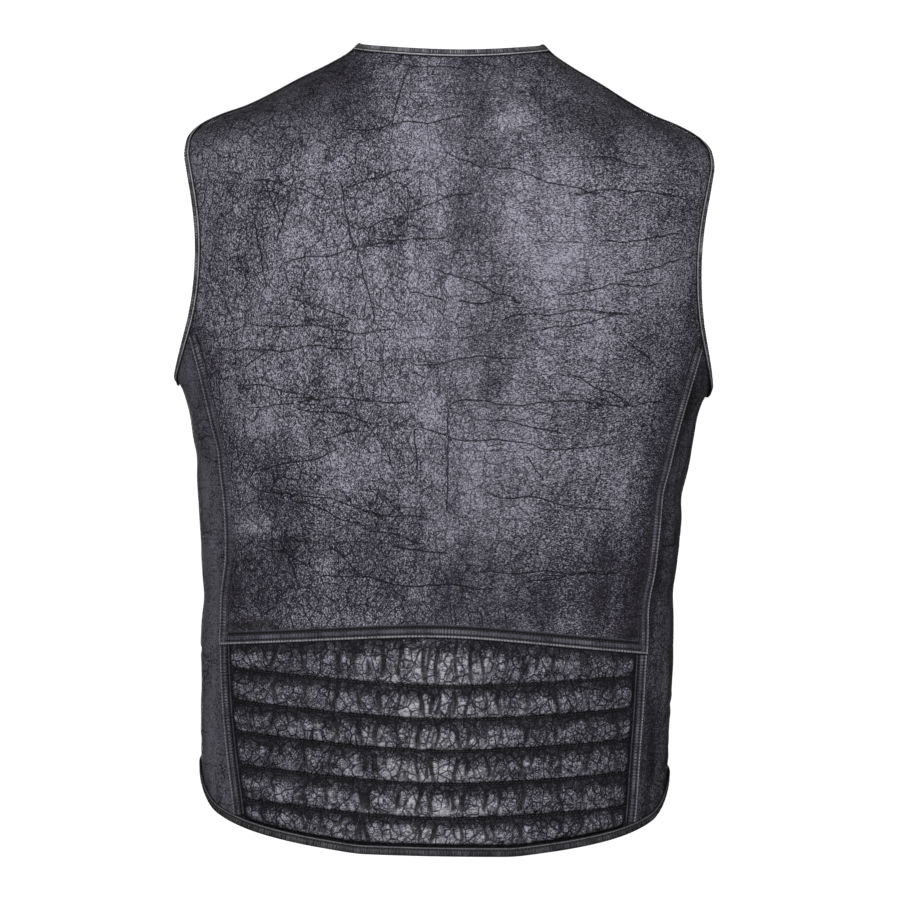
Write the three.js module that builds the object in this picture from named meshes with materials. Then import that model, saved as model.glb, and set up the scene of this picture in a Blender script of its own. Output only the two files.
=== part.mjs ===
// A collarless leather vest, filled out as it hangs on a wearer's shoulders.
// Millimetres, +Z up, the front faces -Y and the wearer's left is +X. The origin is the middle of the
// neck opening, level with the top of the neck binding. Angles go round the body from the centre of the
// back (0) by the wearer's left side (a quarter turn) to the centre of the front (half a turn).
import * as THREE from "three";

// Leather and seams
const WALL = 2; // leather with its backing cloth
const SEAM_GAP = 0.3; // between two pieces that are sewn together
const SEAM_RAISE = 1; // a back panel's edge is turned under, so it stands this much higher
const SEAM_RAISE_WIDTH = 9; // how far in from the edge the turned part reaches
const SEAM_RAISE_START = 12; // and how far below the armhole it starts

// Bindings: a strip folded over a cut edge
const BINDING_LEG = 6; // how far it covers each face
const BINDING_LEATHER = 1.2;
const BINDING_GAP = 0.7;
const BINDING_CORNER = 0.1; // how far its fold stands beyond each face of the panel

// Heights of the main lines
const NECK_TOP = -BINDING_LEATHER - BINDING_GAP; // cut edge of the neck at the shoulder seams
const NECK_BACK_DIP = 7; // the back of the neck lies this much lower
const NECK_FRONT_DROP = 130; // and the front this much lower
const NECK_FRONT_ROUNDING = 0.04; // 0 would give a sharp V
const LOWER_SEAM_Z = -498; // lower edge of the back panel at the centre
const LOWER_SEAM_SIDE_DROP = 13; // and how much lower it ends at the sides
const SEAM_MEETS_ARMHOLE_Z = -244;
const HEM_SEAM_Z = -655; // about where the side seams end at the hem
const NECK_DIP_FADE = 40; // rows of points follow the neck's dip over this depth
const LOWER_SEAM_FADE = 60; // and the lower seam's curve over this height

// The vest hangs a little askew: the right end of the neck stands higher.
const NECK_LIFT = { height: 3, fromCentre: 88, halfWidth: 55, fadeDown: 80 };

// Armhole: an oval seen from the side, with a deeper curve in front
const ARMHOLE = { topZ: -77, bottomZ: -289, back: 58, front: 66 };
const ARMHOLE_FRONT_CORNER_Z = -250; // where the front's upper and lower blocks meet

// Front closure
const LAP = 30; // the left front covers the right by this much
const LAP_DEPTH = 6.2; // and the right front lies this much further in
const LAP_BLEND = 45; // over this much of its width it comes back out
const LAP_CLEAR = 5; // it starts to do so this far beyond the left front's edge
const STUDS = { count: 5, topZ: -172, bottomZ: -585, radius: 7.5, height: 3, segments: 16 };

// A stud's cap in section, from its base to its crown, as shares of its radius and its height
const STUD_SECTION = [
  { across: 0, up: 0 },
  { across: 0.92, up: 0 },
  { across: 1, up: 0.16 },
  { across: 1, up: 0.37 },
  { across: 0.86, up: 0.63 },
  { across: 0.5, up: 0.92 },
  { across: 0, up: 1 },
];

// Padded lower back: heights of the sewn channels at the centre of the back
const CHANNELS_Z = [-539.5, -567, -593, -620.5, -649];
const CHANNEL_SIDE_RISE = 11; // a channel ends this much higher at the side seams
const RIB_HEIGHT = 6;
const RIB_FULLNESS = 0.6; // under 1 gives a fuller crown than a plain half wave
const RIB_TO_BINDING = 1.5; // the last rib ends this far above the hem binding
const RIB_EDGE_STRIP = 8; // a flat strip lies beside each side seam
const RIB_EDGE_FADE = 12; // and the ribs rise from it over this width
const RIB_ROWS = [0, 0.13, 0.36, 0.64, 0.87]; // where across a rib its rows of points lie

// Horizontal sections of the garment: half width, how far the back and the front lie from the shoulder
// line, and squareness (2 is an ellipse, more is squarer).
const SECTIONS = [
  { z: 6, halfWidth: 73, back: 54, front: 49, square: 2.05 },
  { z: -2, halfWidth: 78, back: 57, front: 52, square: 2.05 },
  { z: -10, halfWidth: 86, back: 60, front: 55, square: 2.05 },
  { z: -20, halfWidth: 102, back: 67, front: 61, square: 2.1 },
  { z: -34, halfWidth: 129, back: 76, front: 69, square: 2.15 },
  { z: -46, halfWidth: 150, back: 83, front: 75, square: 2.2 },
  { z: -57, halfWidth: 171.5, back: 90, front: 80, square: 2.25 },
  { z: -66, halfWidth: 195, back: 95, front: 84, square: 2.3 },
  { z: -74, halfWidth: 210, back: 98, front: 87, square: 2.3 },
  { z: -88, halfWidth: 224.5, back: 104, front: 92, square: 2.35 },
  { z: -104, halfWidth: 230, back: 108, front: 97, square: 2.4 },
  { z: -130, halfWidth: 231.5, back: 112, front: 103, square: 2.4 },
  { z: -184, halfWidth: 228.5, back: 118, front: 114, square: 2.45 },
  { z: -250, halfWidth: 229.5, back: 118, front: 122, square: 2.35 },
  { z: -285, halfWidth: 228, back: 116, front: 124, square: 2.35 },
  { z: -300, halfWidth: 221, back: 114, front: 123, square: 2.4 },
  { z: -318, halfWidth: 216, back: 112, front: 122, square: 2.4 },
  { z: -352, halfWidth: 211, back: 108, front: 119, square: 2.4 },
  { z: -400, halfWidth: 206, back: 102, front: 114, square: 2.4 },
  { z: -465, halfWidth: 202, back: 97, front: 108, square: 2.4 },
  { z: -530, halfWidth: 201, back: 97, front: 107, square: 2.4 },
  { z: -607, halfWidth: 199, back: 101, front: 109, square: 2.4 },
  { z: -690, halfWidth: 195, back: 106, front: 112, square: 2.4 },
];

// The side seams below the armholes, set round to the back: distance from the centre, seen from behind
const SIDE_SEAM = [
  { z: -300, fromCentre: 202 },
  { z: -350, fromCentre: 190.5 },
  { z: -400, fromCentre: 183 },
  { z: -450, fromCentre: 180.5 },
  { z: -500, fromCentre: 180 },
  { z: -550, fromCentre: 178 },
  { z: -600, fromCentre: 174 },
  { z: -670, fromCentre: 167 },
];

// How far the worn leather is turned round the body, toward the wearer's left
const TWIST = [
  { z: 20, degrees: 0 },
  { z: -400, degrees: 0 },
  { z: -435, degrees: 0.2 },
  { z: -480, degrees: 1.9 },
  { z: -520, degrees: 1.9 },
  { z: -560, degrees: 1.7 },
  { z: -600, degrees: 1.3 },
  { z: -650, degrees: 0.5 },
  { z: -700, degrees: 0.3 },
];

// The hem, from the centre of the back round to the centre of the front
const HEM = [
  { degrees: -30, z: -678 },
  { degrees: 0, z: -678.4 },
  { degrees: 30, z: -678 },
  { degrees: 45, z: -674 },
  { degrees: 60, z: -666.5 },
  { degrees: 75, z: -651.5 },
  { degrees: 90, z: -618 },
  { degrees: 115, z: -611 },
  { degrees: 145, z: -619 },
  { degrees: 180, z: -627 },
  { degrees: 210, z: -625 },
];

// Soft troughs (negative depth) and swells of the hanging leather: the middle of each, its half length,
// its half width, how it leans from level, and its depth. Negative degrees are on the right side.
const FOLDS = [
  { degrees: -8, z: -88, halfLength: 75, halfWidth: 13, lean: 9, depth: -1.8 },
  { degrees: 22, z: -172, halfLength: 90, halfWidth: 16, lean: -10, depth: -1.6 },
  { degrees: -30, z: -235, halfLength: 80, halfWidth: 18, lean: 14, depth: -2 },
  { degrees: 34, z: -300, halfLength: 70, halfWidth: 16, lean: -6, depth: -1.8 },
  { degrees: -14, z: -330, halfLength: 95, halfWidth: 15, lean: 4, depth: -1.5 },
  { degrees: 12, z: -405, halfLength: 110, halfWidth: 17, lean: -5, depth: -1.9 },
  { degrees: -48, z: -420, halfLength: 60, halfWidth: 15, lean: 8, depth: -1.7 },
  { degrees: 82, z: -352, halfLength: 60, halfWidth: 14, lean: -8, depth: -2.6 },
  { degrees: -84, z: -378, halfLength: 66, halfWidth: 15, lean: 6, depth: -2.8 },
  { degrees: 118, z: -330, halfLength: 75, halfWidth: 18, lean: 24, depth: -2.6 },
  { degrees: -122, z: -345, halfLength: 70, halfWidth: 17, lean: -28, depth: -2.4 },
  { degrees: 96, z: -470, halfLength: 80, halfWidth: 18, lean: 10, depth: -2.4 },
  { degrees: -104, z: -455, halfLength: 85, halfWidth: 18, lean: -8, depth: -2.6 },
  { degrees: 142, z: -440, halfLength: 70, halfWidth: 18, lean: -12, depth: -2.2 },
  { degrees: -146, z: -500, halfLength: 70, halfWidth: 18, lean: 14, depth: -2.2 },
  { degrees: 128, z: -560, halfLength: 60, halfWidth: 18, lean: 18, depth: -2 },
];

// How many strips each block of a panel is divided into
const NECK_ROWS_Z = [-4.5, -8, -13, -22, -36, -50, -61, -69.5]; // rows of points above the armhole
const ARMHOLE_ROWS = 12;
const BACK_LOWER_ROWS = 14;
const BACK_HALF_COLUMNS = 11;
const UNDERARM_COLUMNS = 11;
const FRONT_COLUMNS = 10;
const FRONT_SKIRT_ROWS = 8; // below the end of the back panel
const EDGE_STRIP = 9; // the strip of a panel that lies under or beside its binding
const PANEL_SPAN = { halfBack: 190, front: 215 }; // round the body, about level with the armholes
const STRIP_SPREAD = 0.25; // how much wider than the average the strips in the middle are

const LEATHER = { color: 0x3b3a42, roughness: 0.62, metalness: 0 };
const SIDE_LEATHER = { color: 0x303036, roughness: 0.58, metalness: 0 };
const BINDING = { color: 0x3a3a40, roughness: 0.6, metalness: 0 };
const STUD_METAL = { color: 0x55555a, roughness: 0.35, metalness: 0.9 };

const { PI, abs, sin, cos, atan2, sqrt, min, max } = Math;
const QUARTER = PI / 2;
const radians = (degrees) => (degrees * PI) / 180;
const mix = (from, to, share) => from + (to - from) * share;
const steps = (count) => Array.from({ length: count + 1 }, (_, i) => i / count);

// 0 below 0 and 1 above 1, with a soft start and end.
function ease(share) {
  const t = min(1, max(0, share));
  return t * t * (3 - 2 * t);
}

// A smooth curve through a table's rows that never overshoots them.
function curveThrough(rows, key, column) {
  const sorted = [...rows].sort((p, q) => p[key] - q[key]);
  const at = sorted.map((row) => row[key]);
  const value = sorted.map((row) => row[column]);
  const last = at.length - 1;
  const slope = steps(last - 1).map((_, i) => (value[i + 1] - value[i]) / (at[i + 1] - at[i]));
  const tangent = at.map((_, i) => {
    if (i === 0) return slope[0];
    if (i === last) return slope[last - 1];
    if (slope[i - 1] * slope[i] <= 0) return 0;
    return (2 * slope[i - 1] * slope[i]) / (slope[i - 1] + slope[i]);
  });
  return (position) => {
    let i = 0;
    while (i < last - 1 && position > at[i + 1]) i += 1;
    const span = at[i + 1] - at[i];
    const t = (position - at[i]) / span;
    const rise = value[i + 1] - value[i];
    const start = tangent[i] * span;
    const end = tangent[i + 1] * span;
    return value[i] + t * (start + t * (3 * rise - 2 * start - end + t * (start + end - 2 * rise)));
  };
}

const section = Object.fromEntries(
  ["halfWidth", "back", "front", "square"].map((column) => [column, curveThrough(SECTIONS, "z", column)]),
);
const twistAt = curveThrough(TWIST, "z", "degrees");
const hemAtDegrees = curveThrough(HEM, "degrees", "z");
const hemHeight = (angle) => hemAtDegrees((abs(angle) * 180) / PI);

// The smooth body of the garment, before folds. An angle goes with the leather, which may be twisted.
function bodyPoint(leatherAngle, z) {
  const angle = leatherAngle + radians(twistAt(z));
  const depth = cos(angle) > 0 ? section.back(z) : section.front(z);
  const square = section.square(z);
  const across = (abs(sin(angle)) / section.halfWidth(z)) ** square;
  const along = (abs(cos(angle)) / depth) ** square;
  const reach = (across + along) ** (-1 / square);
  const x = reach * sin(angle);
  const beside = (x + NECK_LIFT.fromCentre) / NECK_LIFT.halfWidth;
  const lift = NECK_LIFT.height * Math.exp(-beside * beside + z / NECK_LIFT.fadeDown);
  return new THREE.Vector3(x, reach * cos(angle), z + lift);
}

function bodyNormal(angle, z) {
  const turn = 0.002;
  const drop = 0.2;
  const around = bodyPoint(angle + turn, z).sub(bodyPoint(angle - turn, z));
  const down = bodyPoint(angle, z - drop).sub(bodyPoint(angle, z + drop));
  return around.cross(down).normalize();
}

const placedFolds = FOLDS.map((fold) => {
  const at = (degrees) => bodyPoint(radians(degrees), fold.z);
  const lean = radians(fold.lean);
  const level = at(fold.degrees + 1).sub(at(fold.degrees - 1)).normalize();
  return { ...fold, middle: at(fold.degrees), level, sinLean: sin(lean), cosLean: cos(lean) };
});

function foldDepth(point) {
  return placedFolds.reduce((sum, fold) => {
    const away = point.clone().sub(fold.middle);
    const side = away.dot(fold.level);
    const along = (side * fold.cosLean + away.z * fold.sinLean) / fold.halfLength;
    const across = (away.z * fold.cosLean - side * fold.sinLean) / fold.halfWidth;
    const through = away.length() / (2 * fold.halfLength);
    return sum + fold.depth * Math.exp(-along * along - across * across - through ** 4);
  }, 0);
}

// A point of the leather: `out` is how far it lies outside the plain outer face.
function leatherPoint(angle, z, out) {
  const base = bodyPoint(angle, z);
  return base.clone().addScaledVector(bodyNormal(angle, z), foldDepth(base) + out);
}

// The angle at which the section at height z lies `distance` behind (or in front of) the shoulder line.
function angleAtDepth(distance, z) {
  const depth = distance > 0 ? section.back(z) : section.front(z);
  const square = section.square(z);
  const across = section.halfWidth(z) * (1 - (abs(distance) / depth) ** square) ** (1 / square);
  return atan2(across, distance);
}

// The angle, behind the shoulder line, at which the section lies `distance` from the centre.
function angleAtWidth(distance, z) {
  const square = section.square(z);
  const along = section.back(z) * (1 - (distance / section.halfWidth(z)) ** square) ** (1 / square);
  return atan2(distance, along);
}

// The turn that moves a point by `distance` round the body.
function turnFor(distance, angle, z) {
  const turn = 0.01;
  return (distance * 2 * turn) / bodyPoint(angle + turn, z).distanceTo(bodyPoint(angle - turn, z));
}

// The armhole's oval, as a turn from its top (0) by its back to its bottom (half a turn) and up its front
const armholeMiddle = (ARMHOLE.topZ + ARMHOLE.bottomZ) / 2;
const armholeHalf = (ARMHOLE.topZ - ARMHOLE.bottomZ) / 2;
const armholeTurnAt = (z) => Math.acos((z - armholeMiddle) / armholeHalf);

function armholeStation(turn) {
  const z = armholeMiddle + armholeHalf * cos(turn);
  const distance = sin(turn) * (sin(turn) > 0 ? ARMHOLE.back : ARMHOLE.front);
  return { angle: angleAtDepth(distance, z), z };
}

function armholeAngle(z, side) {
  if (z >= ARMHOLE.topZ) return QUARTER;
  return armholeStation(side * armholeTurnAt(z)).angle;
}

// The side seam starts where it meets the armhole.
const seamStart = armholeStation(armholeTurnAt(SEAM_MEETS_ARMHOLE_Z));
const seamStartPoint = bodyPoint(seamStart.angle, seamStart.z);
const seamFromCentre = curveThrough(
  [{ z: SEAM_MEETS_ARMHOLE_Z, fromCentre: seamStartPoint.x }, ...SIDE_SEAM],
  "z",
  "fromCentre",
);
const seamAngle = (z) => angleAtWidth(seamFromCentre(z), z);

// The front of the neckline falls in a rounded V; `share` is 0 at the shoulder seam and 1 at the centre.
function neckFrontHeight(share) {
  const valley = (t) => 1 - sqrt(cos((t * PI) / 2) ** 2 + NECK_FRONT_ROUNDING);
  return NECK_TOP - (NECK_FRONT_DROP * (valley(share) - valley(0))) / (valley(1) - valley(0));
}

const neckBackHeight = (share) => NECK_TOP - NECK_BACK_DIP * (1 - share * share);

// The back panel ends at the shoulder seam, the armhole and the side seam.
function backEdgeAngle(z) {
  const half = SEAM_GAP / 2;
  if (z >= ARMHOLE.topZ) return QUARTER - turnFor(half, QUARTER, z);
  if (z > SEAM_MEETS_ARMHOLE_Z + half) return armholeAngle(z, 1);
  const angle = seamAngle(z);
  return angle - turnFor(half, angle, z);
}

// Shares from 0 to 1 whose last strip is narrow and whose others shrink a little towards it
function sharesToEdge(count, strip) {
  const inner = steps(count - 1).map((t) => (1 - strip) * t * (1 + STRIP_SPREAD * (1 - t)));
  return [...inner, 1];
}

// Columns across a back panel from its right edge (-1) to its left edge (1), closer at the edges
function backColumns() {
  const half = sharesToEdge(BACK_HALF_COLUMNS, EDGE_STRIP / PANEL_SPAN.halfBack);
  return [...half.slice(1).reverse().map((u) => -u), ...half];
}

// Heights of the rows along a side seam, from the armhole to the back panel's lower corner
function seamRowHeights() {
  const end = LOWER_SEAM_Z - LOWER_SEAM_SIDE_DROP;
  const first = SEAM_MEETS_ARMHOLE_Z - EDGE_STRIP;
  const rest = steps(BACK_LOWER_ROWS - 1).map((t) => mix(first, end, t));
  return [SEAM_MEETS_ARMHOLE_Z, ...rest];
}

// A grid of spots becomes triangles that face out when rows go down and columns go by rising angle.
// Each quad is split along its shorter diagonal.
function gridTriangles(rows, columns, at, spots) {
  const triangles = [];
  const apart = (i, j) => {
    const [p, q] = [spots[i], spots[j]];
    return bodyPoint(p.angle, p.z).distanceTo(bodyPoint(q.angle, q.z));
  };
  for (let r = 0; r < rows; r += 1) {
    for (let c = 0; c < columns; c += 1) {
      const [a, b] = [at(r, c), at(r, c + 1)];
      const [d, e] = [at(r + 1, c), at(r + 1, c + 1)];
      if (apart(b, d) < apart(a, e)) triangles.push([a, b, d], [b, e, d]);
      else triangles.push([a, b, e], [a, e, d]);
    }
  }
  return triangles;
}

// A panel's wall: `spots` lie on the outer face as { angle, z, out, inside }.
function wallGeometry(spots, triangles) {
  const outer = spots.map((s) => leatherPoint(s.angle, s.z, s.out));
  const inner = spots.map((s) => leatherPoint(s.angle, s.z, s.inside));
  const count = spots.length;
  const faces = [];
  const edges = new Set(triangles.flatMap(([a, b, c]) => [`${a} ${b}`, `${b} ${c}`, `${c} ${a}`]));
  for (const [a, b, c] of triangles) faces.push([a, b, c], [c + count, b + count, a + count]);
  for (const edge of edges) {
    const [a, b] = edge.split(" ").map(Number);
    if (!edges.has(`${b} ${a}`)) faces.push([b, a, a + count], [b, a + count, b + count]);
  }
  return geometryOf([...outer, ...inner], faces);
}

function geometryOf(points, faces) {
  const geometry = new THREE.BufferGeometry().setFromPoints(points);
  geometry.setIndex(faces.flat());
  geometry.computeVertexNormals();
  return geometry;
}

function backPanelSpots() {
  const columns = backColumns();
  const neck = [NECK_TOP, ...NECK_ROWS_Z, ARMHOLE.topZ];
  const armhole = steps(ARMHOLE_ROWS).slice(1).map(
    (t) => armholeMiddle + armholeHalf * cos(t * armholeTurnAt(SEAM_MEETS_ARMHOLE_Z)),
  );
  const heights = [...neck, ...armhole, ...seamRowHeights().slice(1)];
  const spots = heights.flatMap((height) =>
    columns.map((u) => {
      const neckShare = 1 - ease((NECK_TOP - height) / NECK_DIP_FADE);
      const seamShare = 1 - ease((height - LOWER_SEAM_Z) / LOWER_SEAM_FADE);
      const neckDip = (neckBackHeight(abs(u)) - NECK_TOP) * neckShare;
      const z = height + neckDip + LOWER_SEAM_SIDE_DROP * (1 - u * u) * seamShare;
      const fromSide = (1 - abs(u)) * seamFromCentre(z);
      const besideSeam = z < SEAM_MEETS_ARMHOLE_Z - SEAM_RAISE_START;
      const sideRaise = besideSeam ? 1 - ease(fromSide / SEAM_RAISE_WIDTH) : 0;
      const lowRaise = 1 - ease((z - lowerSeamHeight(u)) / SEAM_RAISE_WIDTH);
      const out = SEAM_RAISE * max(sideRaise, lowRaise);
      return { angle: u * backEdgeAngle(z), z, out, inside: -WALL };
    }),
  );
  return { spots, rows: heights.length - 1, columns: columns.length - 1 };
}

const lowerSeamHeight = (u) => LOWER_SEAM_Z - LOWER_SEAM_SIDE_DROP * u * u;
const backHemHeight = (u) => hemHeight(u * seamAngle(HEM_SEAM_Z));

// The lower back: from the seam under the back panel to the hem, with ribs raised between the channels
function lowerBackSpots() {
  const columns = backColumns();
  const lines = [
    (u) => lowerSeamHeight(u) - SEAM_GAP,
    ...CHANNELS_Z.map((z) => (u) => z + CHANNEL_SIDE_RISE * u * u),
    (u) => backHemHeight(u) + BINDING_LEG + RIB_TO_BINDING,
  ];
  const rows = [];
  for (let rib = 0; rib < lines.length - 1; rib += 1) {
    for (const share of RIB_ROWS) rows.push({ rib, share });
  }
  rows.push({ rib: lines.length - 2, share: 1 });
  const spotAt = (u, z, out) => ({ angle: u * backEdgeAngle(z), z, out, inside: -WALL });
  const spots = rows.flatMap(({ rib, share }) =>
    columns.map((u) => {
      const z = mix(lines[rib](u), lines[rib + 1](u), share);
      const fromSide = (1 - abs(u)) * seamFromCentre(z);
      const fade = ease((fromSide - RIB_EDGE_STRIP) / RIB_EDGE_FADE);
      return spotAt(u, z, RIB_HEIGHT * fade * sin(PI * share) ** RIB_FULLNESS);
    }),
  );
  const hem = columns.map((u) => spotAt(u, backHemHeight(u), 0));
  return { spots: [...spots, ...hem], rows: rows.length, columns: columns.length - 1 };
}

// The front's centre edge: it passes the middle by half the lap.
const centreFrontAngle = (z) => PI + atan2(LAP / 2, section.front(z));

// The right front lies further in near the centre, so that the left one closes over it.
function lapDepth(angle, z) {
  const beyond = bodyPoint(angle - radians(twistAt(z)), z).x - LAP / 2 - LAP_CLEAR;
  return -LAP_DEPTH * (1 - ease(beyond / LAP_BLEND));
}

// Only the right front, whose angles are negative, lies further in than the plain outer face.
const layerOffset = (angle, z) => (angle < -QUARTER ? lapDepth(-angle, z) : 0);

// One front panel, as angles on the wearer's left side. Its lower block hangs from the underarm curve
// and from a level line at the armhole's front corner; its upper block stands on that level line.
function frontPanelSpots(side) {
  const edge = (z) => {
    const angle = seamAngle(z);
    return angle + turnFor(SEAM_GAP / 2, angle, z);
  };
  const spot = (angle, z) => {
    const shift = layerOffset(side * angle, z);
    return { angle: side * angle, z, out: shift, inside: shift - WALL };
  };
  const cornerTurn = armholeTurnAt(ARMHOLE_FRONT_CORNER_Z);
  const joinTurn = armholeTurnAt(SEAM_MEETS_ARMHOLE_Z);
  const underarm = steps(UNDERARM_COLUMNS).map((t) => armholeStation(mix(joinTurn, 2 * PI - cornerTurn, t)));
  underarm[0].angle = edge(SEAM_MEETS_ARMHOLE_Z);
  const corner = underarm[UNDERARM_COLUMNS];
  const shares = sharesToEdge(FRONT_COLUMNS, EDGE_STRIP / PANEL_SPAN.front).map((t) => 1 - t).reverse();
  const level = shares.slice(1).map((t) => ({
    angle: mix(corner.angle, centreFrontAngle(corner.z), t),
    z: corner.z,
  }));
  const top = [...underarm, ...level];

  const seamRows = seamRowHeights();
  const seamEnd = seamRows[seamRows.length - 1];
  const hemEnd = hemHeight(edge(HEM_SEAM_Z));
  const skirt = steps(FRONT_SKIRT_ROWS).slice(1).map((t) => mix(seamEnd, hemEnd, t));
  const downShares = [...seamRows, ...skirt].map(
    (z) => (z - SEAM_MEETS_ARMHOLE_Z) / (hemEnd - SEAM_MEETS_ARMHOLE_Z),
  );
  const lastRow = downShares.length - 1;
  const lower = downShares.flatMap((v) =>
    top.map((start) => {
      const share = (start.angle - edge(start.z)) / (centreFrontAngle(start.z) - edge(start.z));
      const angleAt = (z) => mix(edge(z), centreFrontAngle(z), share);
      const hem = hemHeight(angleAt(HEM_SEAM_Z));
      const z = mix(start.z, hem, v);
      return spot(angleAt(z), z);
    }),
  );
  const width = top.length;

  const shoulder = [NECK_TOP, ...NECK_ROWS_Z, ARMHOLE.topZ];
  const arm = steps(ARMHOLE_ROWS).slice(1).map((t) => armholeMiddle + armholeHalf * cos(t * cornerTurn));
  const heights = [...shoulder, ...arm];
  const start = lower.length;
  const upper = heights.slice(0, -1).flatMap((height) =>
    shares.map((t) => {
      const rise = (height - corner.z) / (NECK_TOP - corner.z);
      const z = mix(corner.z, neckFrontHeight(t), rise);
      const seam = QUARTER + turnFor(SEAM_GAP / 2, QUARTER, z);
      const first = height >= ARMHOLE.topZ ? seam : armholeAngle(height, -1);
      return spot(mix(first, centreFrontAngle(z), t), z);
    }),
  );
  const upperRows = heights.length - 1;
  const across = FRONT_COLUMNS + 1;
  const at = (r, c) => (r < upperRows ? start + r * across + c : UNDERARM_COLUMNS + c);
  const spots = [...lower, ...upper];
  const triangles = [
    ...gridTriangles(lastRow, width - 1, (r, c) => r * width + c, spots),
    ...gridTriangles(upperRows, FRONT_COLUMNS, at, spots),
  ];
  const take = (indices) => indices.map((i) => spots[i]);
  const range = (count, from, stride) => Array.from({ length: count }, (_, i) => from + i * stride);
  return {
    spots,
    triangles: side < 0 ? triangles.map(([a, b, c]) => [a, c, b]) : triangles,
    neck: take(range(across, start, 1)),
    hem: take(range(width, lastRow * width, 1)),
    armhole: [
      ...take(range(UNDERARM_COLUMNS, 0, 1)),
      spots[UNDERARM_COLUMNS],
      ...take(range(ARMHOLE_ROWS, start + (upperRows - 1) * across, -across)),
    ],
  };
}

// A binding's section, as how far in from the edge each corner lies (negative is past the edge) and
// how far out from the panel's plain outer face it lies.
function bindingSection() {
  const near = BINDING_GAP;
  const far = BINDING_GAP + BINDING_LEATHER;
  return [
    { inward: BINDING_LEG, out: far },
    { inward: 0, out: far },
    { inward: -far, out: BINDING_CORNER },
    { inward: -far, out: -WALL - BINDING_CORNER },
    { inward: 0, out: -WALL - far },
    { inward: BINDING_LEG, out: -WALL - far },
    { inward: BINDING_LEG, out: -WALL - near },
    { inward: -near, out: -WALL - near },
    { inward: -near, out: near },
    { inward: BINDING_LEG, out: near },
  ];
}

// The point of the leather that lies `inward` from an edge spot, square to the edge.
function pointFromEdge(spot, ahead, behind, side, inward, out) {
  const turn = 0.005;
  const drop = 0.5;
  const base = bodyPoint(spot.angle, spot.z);
  const around = bodyPoint(spot.angle + turn, spot.z).sub(base).divideScalar(turn);
  const down = bodyPoint(spot.angle, spot.z - drop).sub(base).divideScalar(-drop);
  const normal = bodyNormal(spot.angle, spot.z);
  const along = bodyPoint(ahead.angle, ahead.z).sub(bodyPoint(behind.angle, behind.z));
  const inside = normal.cross(along).multiplyScalar(side).normalize();
  if (inward <= 0) {
    const height = layerOffset(spot.angle, spot.z) + out;
    return leatherPoint(spot.angle, spot.z, height).addScaledVector(inside, inward);
  }
  const [uu, uv, vv] = [around.dot(around), around.dot(down), down.dot(down)];
  const [iu, iv] = [inside.dot(around) * inward, inside.dot(down) * inward];
  const determinant = uu * vv - uv * uv;
  const angle = spot.angle + (iu * vv - iv * uv) / determinant;
  const z = spot.z + (iv * uu - iu * uv) / determinant;
  return leatherPoint(angle, z, layerOffset(angle, z) + out);
}

// A binding swept along edge spots. `side` is 1 when the panel lies to the left of the direction of
// travel, seen from outside, and -1 when it lies to the right.
function bindingGeometry(edge, side, closed) {
  const profile = bindingSection();
  const count = edge.length;
  const size = profile.length;
  const neighbour = (i) => (closed ? edge[(i + count) % count] : edge[min(count - 1, max(0, i))]);
  const points = edge.flatMap((spot, i) =>
    profile.map(({ inward, out }) =>
      pointFromEdge(spot, neighbour(i + 1), neighbour(i - 1), side, inward, out),
    ),
  );
  const faces = [];
  const stretches = closed ? count : count - 1;
  for (let i = 0; i < stretches; i += 1) {
    const here = i * size;
    const next = ((i + 1) % count) * size;
    for (let k = 0; k < size; k += 1) {
      const l = (k + 1) % size;
      faces.push([here + k, next + k, next + l], [here + k, next + l, here + l]);
    }
  }
  if (!closed) {
    const flat = profile.map(({ inward, out }) => new THREE.Vector2(inward, out));
    const cap = THREE.ShapeUtils.triangulateShape(flat, []);
    const end = (count - 1) * size;
    for (const [a, b, c] of cap) faces.push([a, b, c], [end + a, end + c, end + b]);
  }
  const outward = side < 0 ? faces : faces.map(([a, b, c]) => [a, c, b]);
  return geometryOf(points, outward);
}

// A press stud's cap: a low dome with a rolled rim
function studGeometry() {
  const profile = STUD_SECTION.map(
    ({ across, up }) => new THREE.Vector2(across * STUDS.radius, up * STUDS.height),
  );
  return new THREE.LatheGeometry(profile, STUDS.segments);
}

const material = (look) => new THREE.MeshStandardMaterial(look);

function pieceMesh(name, geometry, look) {
  const mesh = new THREE.Mesh(geometry, material(look));
  mesh.name = name;
  return mesh;
}

// The studs sit on the left front, along the middle of the body.
function buildStuds() {
  return steps(STUDS.count - 1).map((t, i) => {
    const z = mix(STUDS.topZ, STUDS.bottomZ, t);
    const stud = pieceMesh(`press_stud_${i + 1}`, studGeometry(), STUD_METAL);
    stud.position.copy(leatherPoint(PI, z, SEAM_GAP));
    stud.quaternion.setFromUnitVectors(new THREE.Vector3(0, 1, 0), bodyNormal(PI, z));
    return stud;
  });
}

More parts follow.
